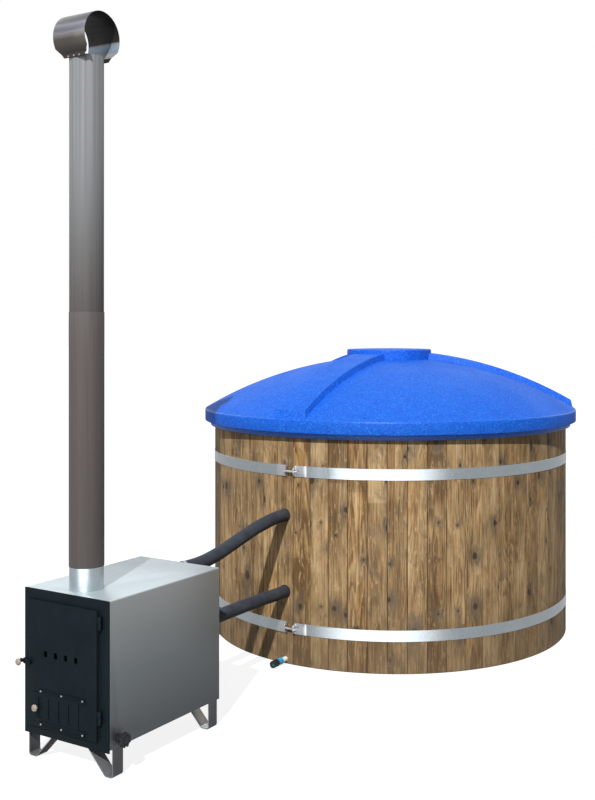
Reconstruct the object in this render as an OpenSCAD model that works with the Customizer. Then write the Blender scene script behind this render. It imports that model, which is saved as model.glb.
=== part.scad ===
// Round stave hot tub with a domed lid, fired by an outside wood stove with a flue.
// Origin: centre of the tub on the ground. +Z is up, and the stove stands on the -Y side.

/* [Tub] */
// Outer radius of the stave wall
tub_r = 900; // [850:10:950]
// Height of the staves above the ground
stave_h = 1040; // [1000:10:1080]
// Thickness of a stave
stave_t = 42; // [36:1:48]
// Number of staves
stave_count = 64; // [56:4:72]
// Open joint between two staves
stave_joint = 0.8; // [0.5:0.1:1.2]
// Gap between the stave wall and the liner
liner_gap = 3; // [2:0.5:5]
// Wall of the moulded liner
liner_t = 6; // [5:0.5:8]
// Thickness of the liner's rim flange
rim_t = 8; // [6:0.5:10]
// Overhang of the rim flange past the staves
rim_out = 22; // [16:1:28]
// Height of the rim flange's outer lip
rim_lip = 24; // [18:1:30]

/* [Base] */
// Width of a joist
joist_w = 36; // [30:1:36]
// Height of a joist
joist_h = 95; // [90:1:110]
// Distance between two joists
joist_pitch = 320; // [280:10:340]
// Thickness of the deck boards
deck_t = 22; // [18:1:28]
// Width of a deck board
deck_board = 145; // [120:5:160]
// Gap between two deck boards
deck_gap = 4; // [2:1:8]

/* [Bench] */
// Radius of the foot well inside the bench
bench_r = 560; // [500:10:600]
// Height of the bench underside over the liner floor
bench_h = 420; // [380:10:440]
// Thickness of the seat boards
seat_t = 28; // [22:1:34]
// Angle left open on the stove side
bench_open = 70; // [60:5:90]
// Thickness of a bench upright
upright_t = 28; // [22:1:34]

/* [Hoops] */
// Width of a hoop
hoop_w = 50; // [40:1:60]
// Thickness of a hoop
hoop_t = 2; // [1.5:0.5:3]
// Height of the lower hoop's middle
hoop_low_z = 167; // [150:1:190]
// Height of the upper hoop's middle
hoop_high_z = 872; // [820:1:900]
// Gap between the ends of a hoop
hoop_gap = 40; // [30:1:50]
// Side offset of that gap
hoop_gap_x = -8; // [-20:1:20]
// Radius of the tightening bolt
bolt_r = 5; // [4:0.5:6]
// Thickness of a lug
lug_t = 3; // [2:0.5:4]
// Length of a lug's leg on the band
lug_l = 60; // [50:1:70]
// Distance of the bolt from the band
bolt_out = 15; // [14:0.5:18]

/* [Lid] */
// Outer radius of the lid
lid_r = 950; // [940:5:980]
// Wall of the lid
lid_t = 6; // [5:0.5:8]
// Height of the lid's upright rim
lid_rim = 54; // [45:1:60]
// Height of the dome's top over the rim's foot
dome_h = 318; // [290:2:340]
// Width of the rim's hollow foot
foot_w = 45; // [40:1:50]
// Width of a raised rib
rib_w = 176; // [140:2:190]
// Height of a rib over the dome
rib_h = 31; // [24:1:34]
// Radius of the middle disc
disc_r = 218; // [200:2:240]
// Height of the middle disc over the dome's top
disc_h = 42; // [38:1:48]

/* [Water ports] */
// Height of the hot port in the tub wall
tub_hot_z = 669; // [640:1:700]
// Height of the cold port in the tub wall
tub_cold_z = 325; // [300:1:380]
// Side offset of the tub's ports
tub_port_x = -44; // [-50:1:-20]
// Outer radius of a port's pipe
port_r = 20; // [18:0.5:21]
// Bore radius of a port's pipe
port_bore = 16; // [14:0.5:17]
// Radius of a port's flange
port_flange = 30; // [28:0.5:32]
// Outer radius of a hose
hose_r = 27.5; // [27:0.1:28]

/* [Drain] */
// Side offset of the drain pipe
drain_x = -40; // [-44:0.5:-40]
// Height of the drain pipe
drain_z = 22; // [21:0.5:36]
// Outer radius of the drain pipe
drain_r = 11; // [10.5:0.5:13.5]
// Distance of the floor drain from the middle
drain_reach = 600; // [500:10:700]
// Radius of the twist knob
knob_r = 16; // [14:0.5:18]

/* [Stove] */
// Width of the stove box
stove_w = 400; // [390:5:440]
// Length of the stove box
stove_l = 595; // [560:5:700]
// Height of the stove box
stove_h = 500; // [500:5:540]
// Clear distance from the tub wall to the stove
stove_gap = 752; // [700:2:800]
// Side offset of the stove
stove_x = -36; // [-50:1:0]
// Sheet thickness of the casing
sheet_t = 3; // [2:0.5:4]
// Water space round the firebox
jacket = 35; // [30:1:38]
// Plate thickness of the firebox
fire_t = 4; // [3:0.5:5]
// Thickness of the front plate
front_t = 5; // [4:0.5:8]
// How far the front plate hangs below the box
front_drop = 10; // [6:1:14]
// Corner radius of the casing's top edges
edge_r = 6; // [4:0.5:10]
// Distance of the hot stub below the box top
hot_drop = 31; // [29:0.5:36]
// Distance of the cold stub above the box bottom
cold_rise = 228; // [200:2:280]

/* [Legs] */
// Height of the legs
leg_h = 100; // [90:1:120]
// Width of a leg strip
leg_w = 50; // [40:1:60]
// Thickness of a leg strip
leg_t = 4; // [3:0.5:5]
// Bend radius of a leg
leg_bend = 12; // [10:0.5:16]
// Slope of the inner half of a leg
leg_slope = 46; // [42:1:60]
// Flat length of a foot
leg_flat = 20; // [12:1:26]
// Distance of the legs from the box ends
leg_inset = 14; // [8:1:30]

/* [Door] */
// Width of the door
door_w = 332; // [325:1:336]
// Height of the door
door_h = 441; // [430:1:450]
// Thickness of the door
door_t = 8; // [6:0.5:12]
// Side offset of the door's middle
door_x = -10; // [-12:1:-6]
// Height of the door's foot over the box bottom
door_z = 24; // [20:1:30]
// Thickness of the door seal
seal_t = 5; // [4:0.5:6]
// Width of the door seal
seal_w = 12; // [8:0.5:12]
// Radius of a hinge barrel
barrel_r = 7; // [6:0.25:8]
// Radius of a hinge pin
pin_r = 4; // [3:0.25:4.5]
// Length of half a hinge
barrel_l = 22; // [16:1:26]
// Width of an air slot
slot_w = 16; // [12:1:18]
// Distance between two air slots
slot_pitch = 48; // [44:1:50]
// Height of an upper air slot
slot_h = 21; // [18:1:30]
// Height of the upper air slots over the door's foot
slot_z = 258; // [250:1:300]

/* [Air damper] */
// Height of the damper's middle over the door's foot
damper_z = 70.5; // [66:0.5:75]
// Distance between the two rails
rail_span = 115; // [105:1:120]
// Height of a rail
rail_h = 14; // [12:0.5:16]
// Length of a rail
rail_l = 218; // [210:1:225]
// Thickness of the sliding plate
slide_t = 2; // [1.5:0.25:3]
// Radius of the pull knob
pull_r = 12; // [10:0.5:14]

/* [Latch] */
// Height of the latch over the door's foot
latch_z = 222; // [215:1:235]
// Length of the latch bar
latch_l = 46; // [42:1:50]
// Height of the latch bar
latch_h = 16; // [14:1:20]
// Thickness of the latch bar
latch_t = 4; // [3:0.5:5]

/* [Stove drain] */
// Radius of the handwheel
wheel_r = 25; // [22:0.5:26]
// Distance of the cock behind the front plate
cock_back = 48; // [40:1:70]
// Height of the cock over the box bottom
cock_rise = 28; // [27:1:36]

/* [Flue] */
// Outer radius of the upper flue pipe
flue_r = 60; // [55:0.5:70]
// Wall of a flue pipe
flue_t = 1.5; // [1:0.25:2.5]
// Wall of the collar under the flue
collar_t = 2; // [1:0.25:3]
// Distance of the flue behind the front plate
flue_back = 100; // [90:1:140]
// Height of the collar over the box top
collar_h = 80; // [60:1:100]
// Height of the joint between the two pipes
flue_joint = 1571; // [1400:1:1700]
// Height of the upper pipe's mouth
flue_top = 2466; // [2300:1:2600]
// Depth that one pipe slides into the next
flue_lap = 50; // [30:1:60]
// Outer radius of the cowl ring
cowl_r = 87; // [84:0.5:95]
// Length of the cowl ring
cowl_l = 150; // [130:1:170]
// Thickness of the cowl strip
cowl_t = 1.5; // [1:0.25:2.5]
// Height of the cowl's axis over the pipe mouth
cowl_up = 65; // [63:0.5:70]
// How far the cowl's ends reach down the pipe
cowl_lap = 11; // [8:0.5:16]

/* [Hidden] */
$fn = 96;

// Gap that lets one solid slide or turn past another
slide_gap = 0.3;
// Radial gap of a turning fit
turn_gap = 0.05;
// How far a cutting shape runs past the face it cuts
over = 1;

// Tub levels and radii
floor_z = joist_h + deck_t;
well_z = floor_z + liner_t;
rim_z = stave_h + rim_t;
stave_in = tub_r - stave_t;
liner_r = stave_in - liner_gap;
liner_in = liner_r - liner_t;
rim_r = tub_r + rim_out;
rim_lip_t = 8;
bench_out = liner_in - 4;
bench_top = well_z + bench_h + seat_t;
deck_r = stave_in - 5;

// The ports: a spot face in the staves takes the gasket and the flange
spot_depth = 4;
gasket_t = 2;
flange_t = 7;
port_seat = tub_r - spot_depth;
port_face = port_seat + gasket_t + flange_t;
port_nut_r = 28;
port_nut_l = 12;
port_nut_seat = sqrt(pow(liner_in, 2) - pow(abs(tub_port_x) + port_nut_r, 2));
strainer_l = 20;

// Lid: a sphere through the dome's top and the rim's shoulder
shoulder = 6;
dome_edge = lid_r - shoulder;
dome_drop = dome_h - lid_rim - shoulder;
dome_r = (pow(dome_edge, 2) + pow(dome_drop, 2)) / (2 * dome_drop);
dome_cz = rim_z + dome_h - dome_r;
rib_reach = dome_edge - 4;
rib_drop = dome_r - sqrt(pow(dome_r, 2) - pow(rib_reach, 2));
disc_crown = 5;
rib_sphere = (pow(rib_reach, 2) + pow(rib_drop, 2)) / (2 * rib_drop);
// The foot reaches in over the liner's flange, however wide the lid is
lid_rest = 10;
foot_in = min(lid_r - foot_w, rim_r - lid_rest);

// Stove planes
rear_y = -(tub_r + stove_gap);
casing_y = rear_y - stove_l;
front_y = casing_y - front_t;
box_z = leg_h;
box_top = leg_h + stove_h;
fire_half = stove_w / 2 - sheet_t - jacket;
water_under = 30;
water_over = 45;
fire_z = box_z + water_under;
fire_top = box_top - water_over;
fire_rear = rear_y - sheet_t - water_over;
ash_h = 70;
grate_z = fire_z + ash_h;
grate_t = 8;

// Door, seal and hinge line
door_left = stove_x + door_x - door_w / 2;
door_right = door_left + door_w;
door_foot = box_z + door_z;
door_back = front_y - seal_t;
door_face = door_back - door_t;
seal_inset = 4;
mouth_inset = seal_inset + seal_w + 4;
hinge_x = door_right + barrel_r + 4;
hinge_y = door_back - door_t / 2;
hinge_in = 60;
hinge_levels = [door_foot + hinge_in, door_foot + door_h - hinge_in - 3];

// Damper: its slots stand between the door's slots until it slides open
damper_travel = slot_pitch / 2;
air_side = -3;
air_mid = stove_x + door_x + air_side;
air_x0 = air_mid - 1.5 * slot_pitch;
damper_mid = door_foot + damper_z;
air_margin = 15;
air_h = rail_span - rail_h - 2 * air_margin;
rail_side = 9;
rail_x0 = air_mid + rail_side - rail_l / 2;
lip = 4;
rail_t = slide_t + 2 * slide_gap + 1.4;
slide_h = rail_span - rail_h - 2 * slide_gap;
slide_tail = 32;
slide_x0 = rail_x0 - slide_tail;
pull_x = slide_x0 + slide_tail / 2 + 5;
slide_l = rail_l;

// Latch
latch_x = door_left + 17;
latch_level = door_foot + latch_z;
latch_gap = 1;
latch_back = door_face - latch_gap;
latch_pin_r = 5;

// Flue
flue_x = stove_x;
flue_y = front_y + flue_back;
lower_r = flue_r + flue_t;
collar_r = flue_r;
cowl_z = flue_top + cowl_up;

// The hoses' middle lines, from the stove's stub to the tub's port
hot_route = [[-36, -1644, 569], [-36, -1600, 568], [-37, -1540, 568], [-38, -1470, 573],
    [-39, -1390, 586], [-40, -1300, 607], [-41, -1210, 628], [-42, -1120, 648],
    [-43, -1030, 662], [-44, -960, 669], [-44, -905, 669]];
cold_route = [[-36, -1644, 328], [-36, -1600, 328], [-38, -1480, 327], [-40, -1340, 328],
    [-41, -1200, 329], [-42, -1080, 328], [-44, -980, 325], [-44, -905, 325]];
hose_sides = 12;
stub_l = 8;
stub_r = 26;

// ---- shared shapes ----

module tube(r_out, r_in, h) {
    difference() {
        cylinder(r = r_out, h = h);
        translate([0, 0, -over]) cylinder(r = r_in, h = h + 2 * over);
    }
}

// Lays a shape that stands on Z along -Y, its foot at the given y
module along_minus_y(x, y, z) {
    translate([x, y, z]) rotate([90, 0, 0]) children();
}

// Lays a shape that stands on Z along +Y
module along_plus_y(x, y, z) {
    translate([x, y, z]) rotate([-90, 0, 0]) children();
}

// Lays a shape that stands on Z along +X
module along_plus_x(x, y, z) {
    translate([x, y, z]) rotate([0, 90, 0]) children();
}

module block(x0, x1, y0, y1, z0, z1) {
    translate([x0, y0, z0]) cube([x1 - x0, y1 - y0, z1 - z0]);
}

function unit(v) = v / norm(v);
function arc(cx, cy, r, a0, a1, steps) =
    [for (i = [0 : steps]) let (a = a0 + (a1 - a0) * i / steps) [cx + r * cos(a), cy + r * sin(a)]];

// Direction of a route at point i; the ends leave square to their fittings
function heading(route, i) =
    i == 0 || i == len(route) - 1 ? [0, 1, 0] : unit(route[i + 1] - route[i - 1]);
function hose_ring(route, i) =
    let (t = heading(route, i), side = unit(cross(t, [0, 0, 1])), up = cross(side, t))
    [for (k = [0 : hose_sides - 1])
        let (a = 360 * k / hose_sides) route[i] + hose_r * (cos(a) * side + sin(a) * up)];

module hose(route) {
    rings = len(route);
    points = [for (i = [0 : rings - 1]) each hose_ring(route, i)];
    walls = [for (i = [0 : rings - 2], k = [0 : hose_sides - 1])
        let (n = (k + 1) % hose_sides, a = i * hose_sides + k, b = i * hose_sides + n)
        each [[a, b, a + hose_sides], [b, b + hose_sides, a + hose_sides]]];
    foot = [for (k = [hose_sides - 1 : -1 : 0]) k];
    head = [for (k = [0 : hose_sides - 1]) (rings - 1) * hose_sides + k];
    polyhedron(points = points, faces = concat(walls, [foot, head]));
}

// ---- base ----

module base_joists() {
    color("tan")
    for (i = [-2 : 2]) {
        x = i * joist_pitch;
        half = sqrt(pow(deck_r, 2) - pow(abs(x) + joist_w / 2, 2));
        block(x - joist_w / 2, x + joist_w / 2, -half, half, 0, joist_h);
    }
}

// The boards are laid out so that the drain passes through the middle of one
deck_pitch = deck_board + deck_gap;
deck_shift = -(drain_reach % deck_pitch);

module base_deck() {
    boards = ceil(deck_r / deck_pitch) + 1;
    color("burlywood")
    difference() {
        translate([0, 0, joist_h]) cylinder(r = deck_r, h = deck_t);
        for (i = [-boards : boards])
            translate([-tub_r, deck_shift + (i + 0.5) * deck_pitch - deck_gap / 2, joist_h - over])
                cube([2 * tub_r, deck_gap, deck_t + 2 * over]);
        translate([drain_x, -drain_reach, joist_h - over])
            cylinder(r = drain_tail_r + 1, h = deck_t + 2 * over);
    }
}

// ---- stave wall ----

module port_holes(r, depth_from, depth_to) {
    for (z = [tub_hot_z, tub_cold_z])
        along_plus_y(tub_port_x, -depth_from, z) cylinder(r = r, h = depth_from - depth_to);
}

module staves() {
    color("peru")
    difference() {
        tube(tub_r, stave_in, stave_h);
        for (i = [0 : stave_count - 1])
            rotate(-90 + 360 * i / stave_count)
                translate([stave_in - 2 * over, -stave_joint / 2, -over])
                    cube([stave_t + 4 * over, stave_joint, stave_h + 2 * over]);
        port_holes(port_r + 0.5, tub_r + over, stave_in - 10);
        port_holes(port_flange + 1, tub_r + over, port_seat);
        along_minus_y(drain_x, -stave_in + 10, drain_z) cylinder(r = drain_r + 0.5, h = stave_t + 20);
    }
}

module liner() {
    color("royalblue")
    difference() {
        rotate_extrude($fn = 128) polygon([
            [0, floor_z], [liner_r, floor_z], [liner_r, stave_h], [rim_r - rim_lip_t, stave_h],
            [rim_r - rim_lip_t, rim_z - rim_lip], [rim_r, rim_z - rim_lip], [rim_r, rim_z],
            [liner_in, rim_z], [liner_in, well_z], [0, well_z]]);
        port_holes(port_r + 0.5, liner_r + over, liner_in - 10);
        translate([drain_x, -drain_reach, floor_z - over])
            cylinder(r = drain_tail_r + 0.5, h = liner_t + 2 * over);
    }
}

// ---- bench inside the tub ----

module bench_seat() {
    boards = 30;
    color("sandybrown")
    translate([0, 0, well_z + bench_h])
    difference() {
        tube(bench_out, bench_r, seat_t);
        translate([0, 0, -over]) linear_extrude(seat_t + 2 * over)
            polygon([[0, 0], 2 * tub_r * [-sin(bench_open / 2), -cos(bench_open / 2)],
                2 * tub_r * [sin(bench_open / 2), -cos(bench_open / 2)]]);
        for (i = [0 : boards - 1])
            rotate(360 * i / boards) translate([bench_r - over, -1.5, -over])
                cube([bench_out - bench_r + 2 * over, 3, seat_t + 2 * over]);
    }
}

module bench_uprights() {
    spread = (360 - bench_open - 10) / 6;
    color("sandybrown")
    for (k = [-3 : 3])
        rotate(90 + k * spread) translate([bench_r + 30, -upright_t / 2, well_z])
            cube([bench_out - bench_r - 50, upright_t, bench_h]);
}

// ---- hoops and their tightening gear ----

gap_left = hoop_gap_x - hoop_gap / 2;
gap_right = hoop_gap_x + hoop_gap / 2;
band_r = tub_r + hoop_t;
lug_y = -(band_r + bolt_out);
nut_l = 14;

module hoop(z) {
    color("gainsboro")
    difference() {
        translate([0, 0, z - hoop_w / 2]) tube(band_r, tub_r, hoop_w);
        block(gap_left, gap_right, -tub_r - 20, -tub_r + 20, z - hoop_w, z + hoop_w);
    }
}
module hoop_lower() { hoop(hoop_low_z); }
module hoop_upper() { hoop(hoop_high_z); }

// One lug: a strip on the band, with its end turned out as a round ear for the bolt
module hoop_lug(x0, ear_x, z) {
    ear_r = hoop_w / 2 - 1;
    difference() {
        union() {
            intersection() {
                translate([0, 0, z - hoop_w / 2]) tube(band_r + lug_t, band_r, hoop_w);
                block(x0, x0 + lug_l, -band_r - hoop_w, 0, z - hoop_w, z + hoop_w);
            }
            difference() {
                along_plus_x(ear_x, -band_r, z) cylinder(r = ear_r, h = lug_t);
                translate([0, 0, z - hoop_w]) cylinder(r = band_r, h = 2 * hoop_w, $fn = 200);
            }
        }
        along_plus_x(ear_x - over, lug_y, z) cylinder(r = bolt_r, h = lug_t + 2 * over);
    }
}

module hoop_lugs() {
    color("silver")
    for (z = [hoop_low_z, hoop_high_z]) {
        hoop_lug(gap_left - lug_l, gap_left - lug_t, z);
        hoop_lug(gap_right, gap_right, z);
    }
}

module hoop_bolts() {
    head_l = 7;
    tail_l = 6;
    color("silver")
    for (z = [hoop_low_z, hoop_high_z]) {
        along_plus_x(gap_left - lug_t, lug_y, z)
            cylinder(r = bolt_r, h = hoop_gap + 2 * lug_t + nut_l + tail_l);
        along_plus_x(gap_left - lug_t - head_l, lug_y, z) cylinder(r = 1.8 * bolt_r, h = head_l, $fn = 6);
    }
}

module hoop_nuts() {
    washer_r = 2.2 * bolt_r;
    washer_t = 2;
    color("silver")
    for (z = [hoop_low_z, hoop_high_z])
        along_plus_x(gap_right + lug_t, lug_y, z)
            difference() {
                union() {
                    cylinder(r = 2.1 * bolt_r, h = nut_l, $fn = 6);
                    cylinder(r = washer_r, h = washer_t);
                }
                translate([0, 0, -over]) cylinder(r = bolt_r, h = nut_l + 2 * over);
            }
}

// ---- water ports through the tub wall ----

port_end = port_nut_seat - port_nut_l - 10;

module port_fitting(z) {
    color("dimgray")
    difference() {
        union() {
            along_plus_y(tub_port_x, -port_face, z) cylinder(r = port_flange, h = flange_t);
            along_plus_y(tub_port_x, -port_face, z) cylinder(r = port_r, h = port_face - port_end);
        }
        along_plus_y(tub_port_x, -port_face - over, z)
            cylinder(r = port_bore, h = port_face - port_end + 2 * over);
    }
}
module port_fitting_hot() { port_fitting(tub_hot_z); }
module port_fitting_cold() { port_fitting(tub_cold_z); }

module port_gaskets() {
    color("black")
    for (z = [tub_hot_z, tub_cold_z])
        along_plus_y(tub_port_x, -port_seat - gasket_t, z) tube(port_flange, port_r, gasket_t);
}

module port_nuts() {
    color("dimgray")
    for (z = [tub_hot_z, tub_cold_z])
        along_plus_y(tub_port_x, -port_nut_seat, z)
            difference() {
                cylinder(r = port_nut_r, h = port_nut_l, $fn = 6);
                translate([0, 0, -over]) cylinder(r = port_r, h = port_nut_l + 2 * over);
            }
}

module port_strainers() {
    cup_t = 3;
    cup_r = port_nut_r * cos(30);
    hole_r = 3;
    color("dimgray")
    for (z = [tub_hot_z, tub_cold_z])
        along_plus_y(tub_port_x, -port_nut_seat + port_nut_l, z)
            difference() {
                cylinder(r = cup_r, h = strainer_l);
                translate([0, 0, -over]) cylinder(r = cup_r - cup_t, h = strainer_l - cup_t + over);
                for (a = [0 : 45 : 315])
                    rotate(a) translate([port_r / 2 + hole_r, 0, 0])
                        cylinder(r = hole_r, h = strainer_l + over, $fn = 24);
                cylinder(r = hole_r, h = strainer_l + over, $fn = 24);
            }
}

// ---- hoses ----

module hose_hot() { color("#2c2e33") hose(hot_route); }
module hose_cold() { color("#2c2e33") hose(cold_route); }

module hose_clamps() {
    band_w = 12;
    back = 14;
    color("silver")
    for (z = [hot_stub_z, cold_stub_z]) {
        along_plus_y(stove_x, rear_y + stub_l + back, z) tube(hose_r + 1.5, hose_r - 0.3, band_w);
        block(stove_x - 12, stove_x + 12, rear_y + stub_l + back, rear_y + stub_l + back + band_w,
            z - hose_r - 10, z - hose_r - 0.5);
    }
}

// ---- drain of the tub ----

drain_tail_r = 16;
elbow_r = 20;
valve_y = -(tub_r + 35);
valve_l = 32;
spigot_r = 7;
drain_wall = 3;
knob_l = 36;

module floor_drain() {
    cap_r = 38;
    color("white")
    translate([drain_x, -drain_reach, 0])
    difference() {
        union() {
            translate([0, 0, well_z]) cylinder(r = cap_r, h = 5);
            translate([0, 0, joist_h - 20]) cylinder(r = drain_tail_r, h = well_z - joist_h + 20 + over);
        }
        translate([0, 0, joist_h - 21]) cylinder(r = drain_tail_r - 3, h = well_z - joist_h + 22);
        for (a = [0 : 60 : 300])
            rotate(a) translate([8, 0, well_z]) cylinder(r = 2.5, h = 6, $fn = 24);
    }
}

module drain_pipe() {
    elbow_foot = drain_z - elbow_r + 3;
    color("white")
    difference() {
        union() {
            translate([drain_x, -drain_reach, elbow_foot])
                cylinder(r = elbow_r, h = joist_h - over - elbow_foot);
            along_minus_y(drain_x, -drain_reach, drain_z)
                cylinder(r = drain_r, h = -valve_y - drain_reach + 10);
        }
        translate([drain_x, -drain_reach, elbow_foot + 4]) cylinder(r = drain_tail_r, h = joist_h);
        along_minus_y(drain_x, -drain_reach, drain_z)
            cylinder(r = drain_r - drain_wall, h = -valve_y - drain_reach + 11);
    }
}

module drain_valve() {
    color("deepskyblue")
    along_minus_y(drain_x, valve_y, drain_z)
    difference() {
        union() {
            cylinder(r = drain_r + 5, h = 14, $fn = 8);
            cylinder(r = drain_r + 2, h = valve_l);
            translate([0, 0, valve_l - 14]) cylinder(r = drain_r + 4, h = 11, $fn = 8);
            cylinder(r = spigot_r, h = valve_l + knob_l - 8);
        }
        translate([0, 0, -over]) cylinder(r = drain_r, h = 10 + over);
        cylinder(r = spigot_r - 3, h = valve_l + knob_l);
    }
}

module drain_knob() {
    color("black")
    along_minus_y(drain_x, valve_y - valve_l - slide_gap, drain_z)
    difference() {
        cylinder(r = knob_r, h = knob_l);
        translate([0, 0, -over]) cylinder(r = spigot_r + turn_gap, h = knob_l + 2 * over);
        for (a = [0 : 30 : 330])
            rotate(a) translate([knob_r + 1, 0, 6]) cylinder(r = 2.5, h = knob_l, $fn = 24);
    }
}

// ---- lid ----

module cap(radius, centre_z, reach) {
    intersection() {
        translate([0, 0, centre_z]) sphere(r = radius, $fn = 200);
        translate([0, 0, rim_z]) cylinder(r = reach, h = 2 * dome_h, $fn = 200);
    }
}

module lid() {
    color("#2f5fe0")
    difference() {
        union() {
            cap(dome_r, dome_cz, dome_edge);
            translate([0, 0, rim_z]) cylinder(r = lid_r, h = lid_rim, $fn = 200);
            translate([0, 0, rim_z + lid_rim])
                cylinder(r1 = lid_r, r2 = lid_r - shoulder, h = shoulder, $fn = 200);
            for (a = [-90, 30, 150])
                intersection() {
                    cap(rib_sphere, rim_z + dome_h + rib_h - rib_sphere, rib_reach);
                    rotate(a) block(0, lid_r, -rib_w / 2, rib_w / 2, rim_z + lid_rim, rim_z + 2 * dome_h);
                }
            translate([0, 0, rim_z + lid_rim])
                cylinder(r = disc_r, h = dome_h - lid_rim + disc_h - disc_crown);
            translate([0, 0, rim_z + dome_h + disc_h - disc_crown])
                cylinder(r1 = disc_r, r2 = disc_r / 2, h = disc_crown);
        }
        translate([0, 0, -over]) cap(dome_r - lid_t, dome_cz + over, foot_in);
        intersection() {
            translate([0, 0, dome_cz]) sphere(r = dome_r - lid_t, $fn = 200);
            translate([0, 0, rim_z + lid_t]) tube(dome_edge, foot_in + lid_t, dome_h);
        }
    }
}

// ---- stove body ----

// Cross-section of the casing, with its top edges rounded
module casing_section(inset) {
    half = stove_w / 2 - inset;
    r = edge_r - inset;
    foot = box_z + inset;
    top = box_top - inset;
    translate([stove_x - half, foot]) square([2 * half, top - foot - r]);
    translate([stove_x - half + r, foot]) square([2 * (half - r), top - foot]);
    for (s = [-1, 1]) translate([stove_x + s * (half - r), top - r]) circle(r = r);
}

module stove_casing() {
    color("darkgray")
    difference() {
        along_minus_y(0, rear_y, 0) linear_extrude(stove_l) casing_section(0);
        along_minus_y(0, rear_y - sheet_t, 0) linear_extrude(stove_l) casing_section(sheet_t);
        translate([flue_x, flue_y, box_top - 2 * sheet_t]) cylinder(r = collar_r, h = 4 * sheet_t);
        for (z = [hot_stub_z, cold_stub_z])
            along_minus_y(stove_x, rear_y + over, z) cylinder(r = port_r, h = sheet_t + 2 * over);
        along_plus_x(side_x - 2 * sheet_t, cock_y, cock_z) cylinder(r = cock_r, h = 4 * sheet_t);
    }
}

module stove_firebox() {
    ledge = 14;
    ledge_t = 8;
    ledge_gap = 20;
    color("dimgray")
    difference() {
        block(stove_x - fire_half, stove_x + fire_half, casing_y, fire_rear, fire_z, fire_top);
        difference() {
            block(stove_x - fire_half + fire_t, stove_x + fire_half - fire_t, casing_y - over,
                fire_rear - fire_t, fire_z + fire_t, fire_top - fire_t);
            for (s = [-1, 1])
                translate([stove_x + s * (fire_half - ledge / 2) - ledge / 2, casing_y + ledge_gap,
                    grate_z - ledge_t])
                    cube([ledge, fire_rear - casing_y - 2 * ledge_gap, ledge_t]);
        }
        translate([flue_x, flue_y, fire_top - 2 * fire_t]) cylinder(r = collar_r - collar_t, h = 4 * fire_t);
    }
}

module stove_front() {
    color("#1b2730")
    difference() {
        block(stove_x - stove_w / 2, stove_x + stove_w / 2, front_y, casing_y, box_z - front_drop, box_top);
        block(door_left + mouth_inset, door_right - mouth_inset, front_y - over, casing_y + over,
            door_foot + mouth_inset, door_foot + door_h - mouth_inset);
    }
}

module fire_grate() {
    bars = 9;
    slot = 12;
    end_gap = 30;
    end_bar = 25;
    half = fire_half - fire_t - 1;
    long = fire_rear - casing_y - 2 * end_gap;
    pitch = 2 * half / (bars + 1);
    color("#30302e")
    difference() {
        translate([stove_x - half, casing_y + end_gap, grate_z]) cube([2 * half, long, grate_t]);
        for (i = [1 : bars])
            translate([stove_x - half + i * pitch - slot / 2, casing_y + end_gap + end_bar, grate_z - over])
                cube([slot, long - 2 * end_bar, grate_t + 2 * over]);
    }
}

hot_stub_z = box_top - hot_drop;
cold_stub_z = box_z + cold_rise;

module stove_stub(z) {
    color("gray")
    difference() {
        union() {
            along_plus_y(stove_x, rear_y, z) cylinder(r = stub_r, h = stub_l);
            along_plus_y(stove_x, rear_y - sheet_t - 6, z) cylinder(r = port_r, h = sheet_t + 6 + over);
        }
        along_plus_y(stove_x, rear_y - sheet_t - 7, z) cylinder(r = port_bore, h = sheet_t + stub_l + 8);
    }
}
module stove_stub_hot() { stove_stub(hot_stub_z); }
module stove_stub_cold() { stove_stub(cold_stub_z); }

// ---- legs ----

// A flat strip, upright at the outside, bent round at the foot and sloping back up
function leg_line(r, turn) =
    let (last = [leg_bend + leg_flat + r * cos(270 + leg_slope), leg_bend + r * sin(270 + leg_slope)],
        rise = leg_h - last[1],
        end = last + [rise / tan(leg_slope), rise],
        line = concat([[leg_bend - r, leg_h]], arc(leg_bend, leg_bend, r, 180, 270, 6),
            arc(leg_bend + leg_flat, leg_bend, r, 270, 270 + leg_slope, 5), [end]))
    turn ? [for (i = [len(line) - 1 : -1 : 0]) line[i]] : line;

module leg(side, y) {
    color("slategray")
    translate([stove_x + side * stove_w / 2, y + leg_w, 0])
        mirror([side > 0 ? 1 : 0, 0, 0])
            rotate([90, 0, 0]) linear_extrude(leg_w)
                polygon(concat(leg_line(leg_bend, false), leg_line(leg_bend - leg_t, true)));
}
module leg_front_left() { leg(-1, casing_y + leg_inset); }
module leg_front_right() { leg(1, casing_y + leg_inset); }
module leg_rear_left() { leg(-1, rear_y - leg_inset - leg_w); }
module leg_rear_right() { leg(1, rear_y - leg_inset - leg_w); }

// ---- drain cock of the stove ----

cock_r = 10;
cock_pin = 4;
cock_l = 18;
wheel_l = 15;
cock_y = front_y + cock_back;
cock_z = box_z + cock_rise;
side_x = stove_x + stove_w / 2;

module stove_drain_cock() {
    color("#3a3a3a")
    union() {
        along_plus_x(side_x - sheet_t - 4, cock_y, cock_z) cylinder(r = cock_r, h = sheet_t + 4 + cock_l);
        along_plus_x(side_x, cock_y, cock_z) cylinder(r = cock_r + 5, h = 7, $fn = 6);
        along_plus_x(side_x + cock_l - over, cock_y, cock_z) cylinder(r = cock_pin, h = wheel_l - 2);
    }
}

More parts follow.
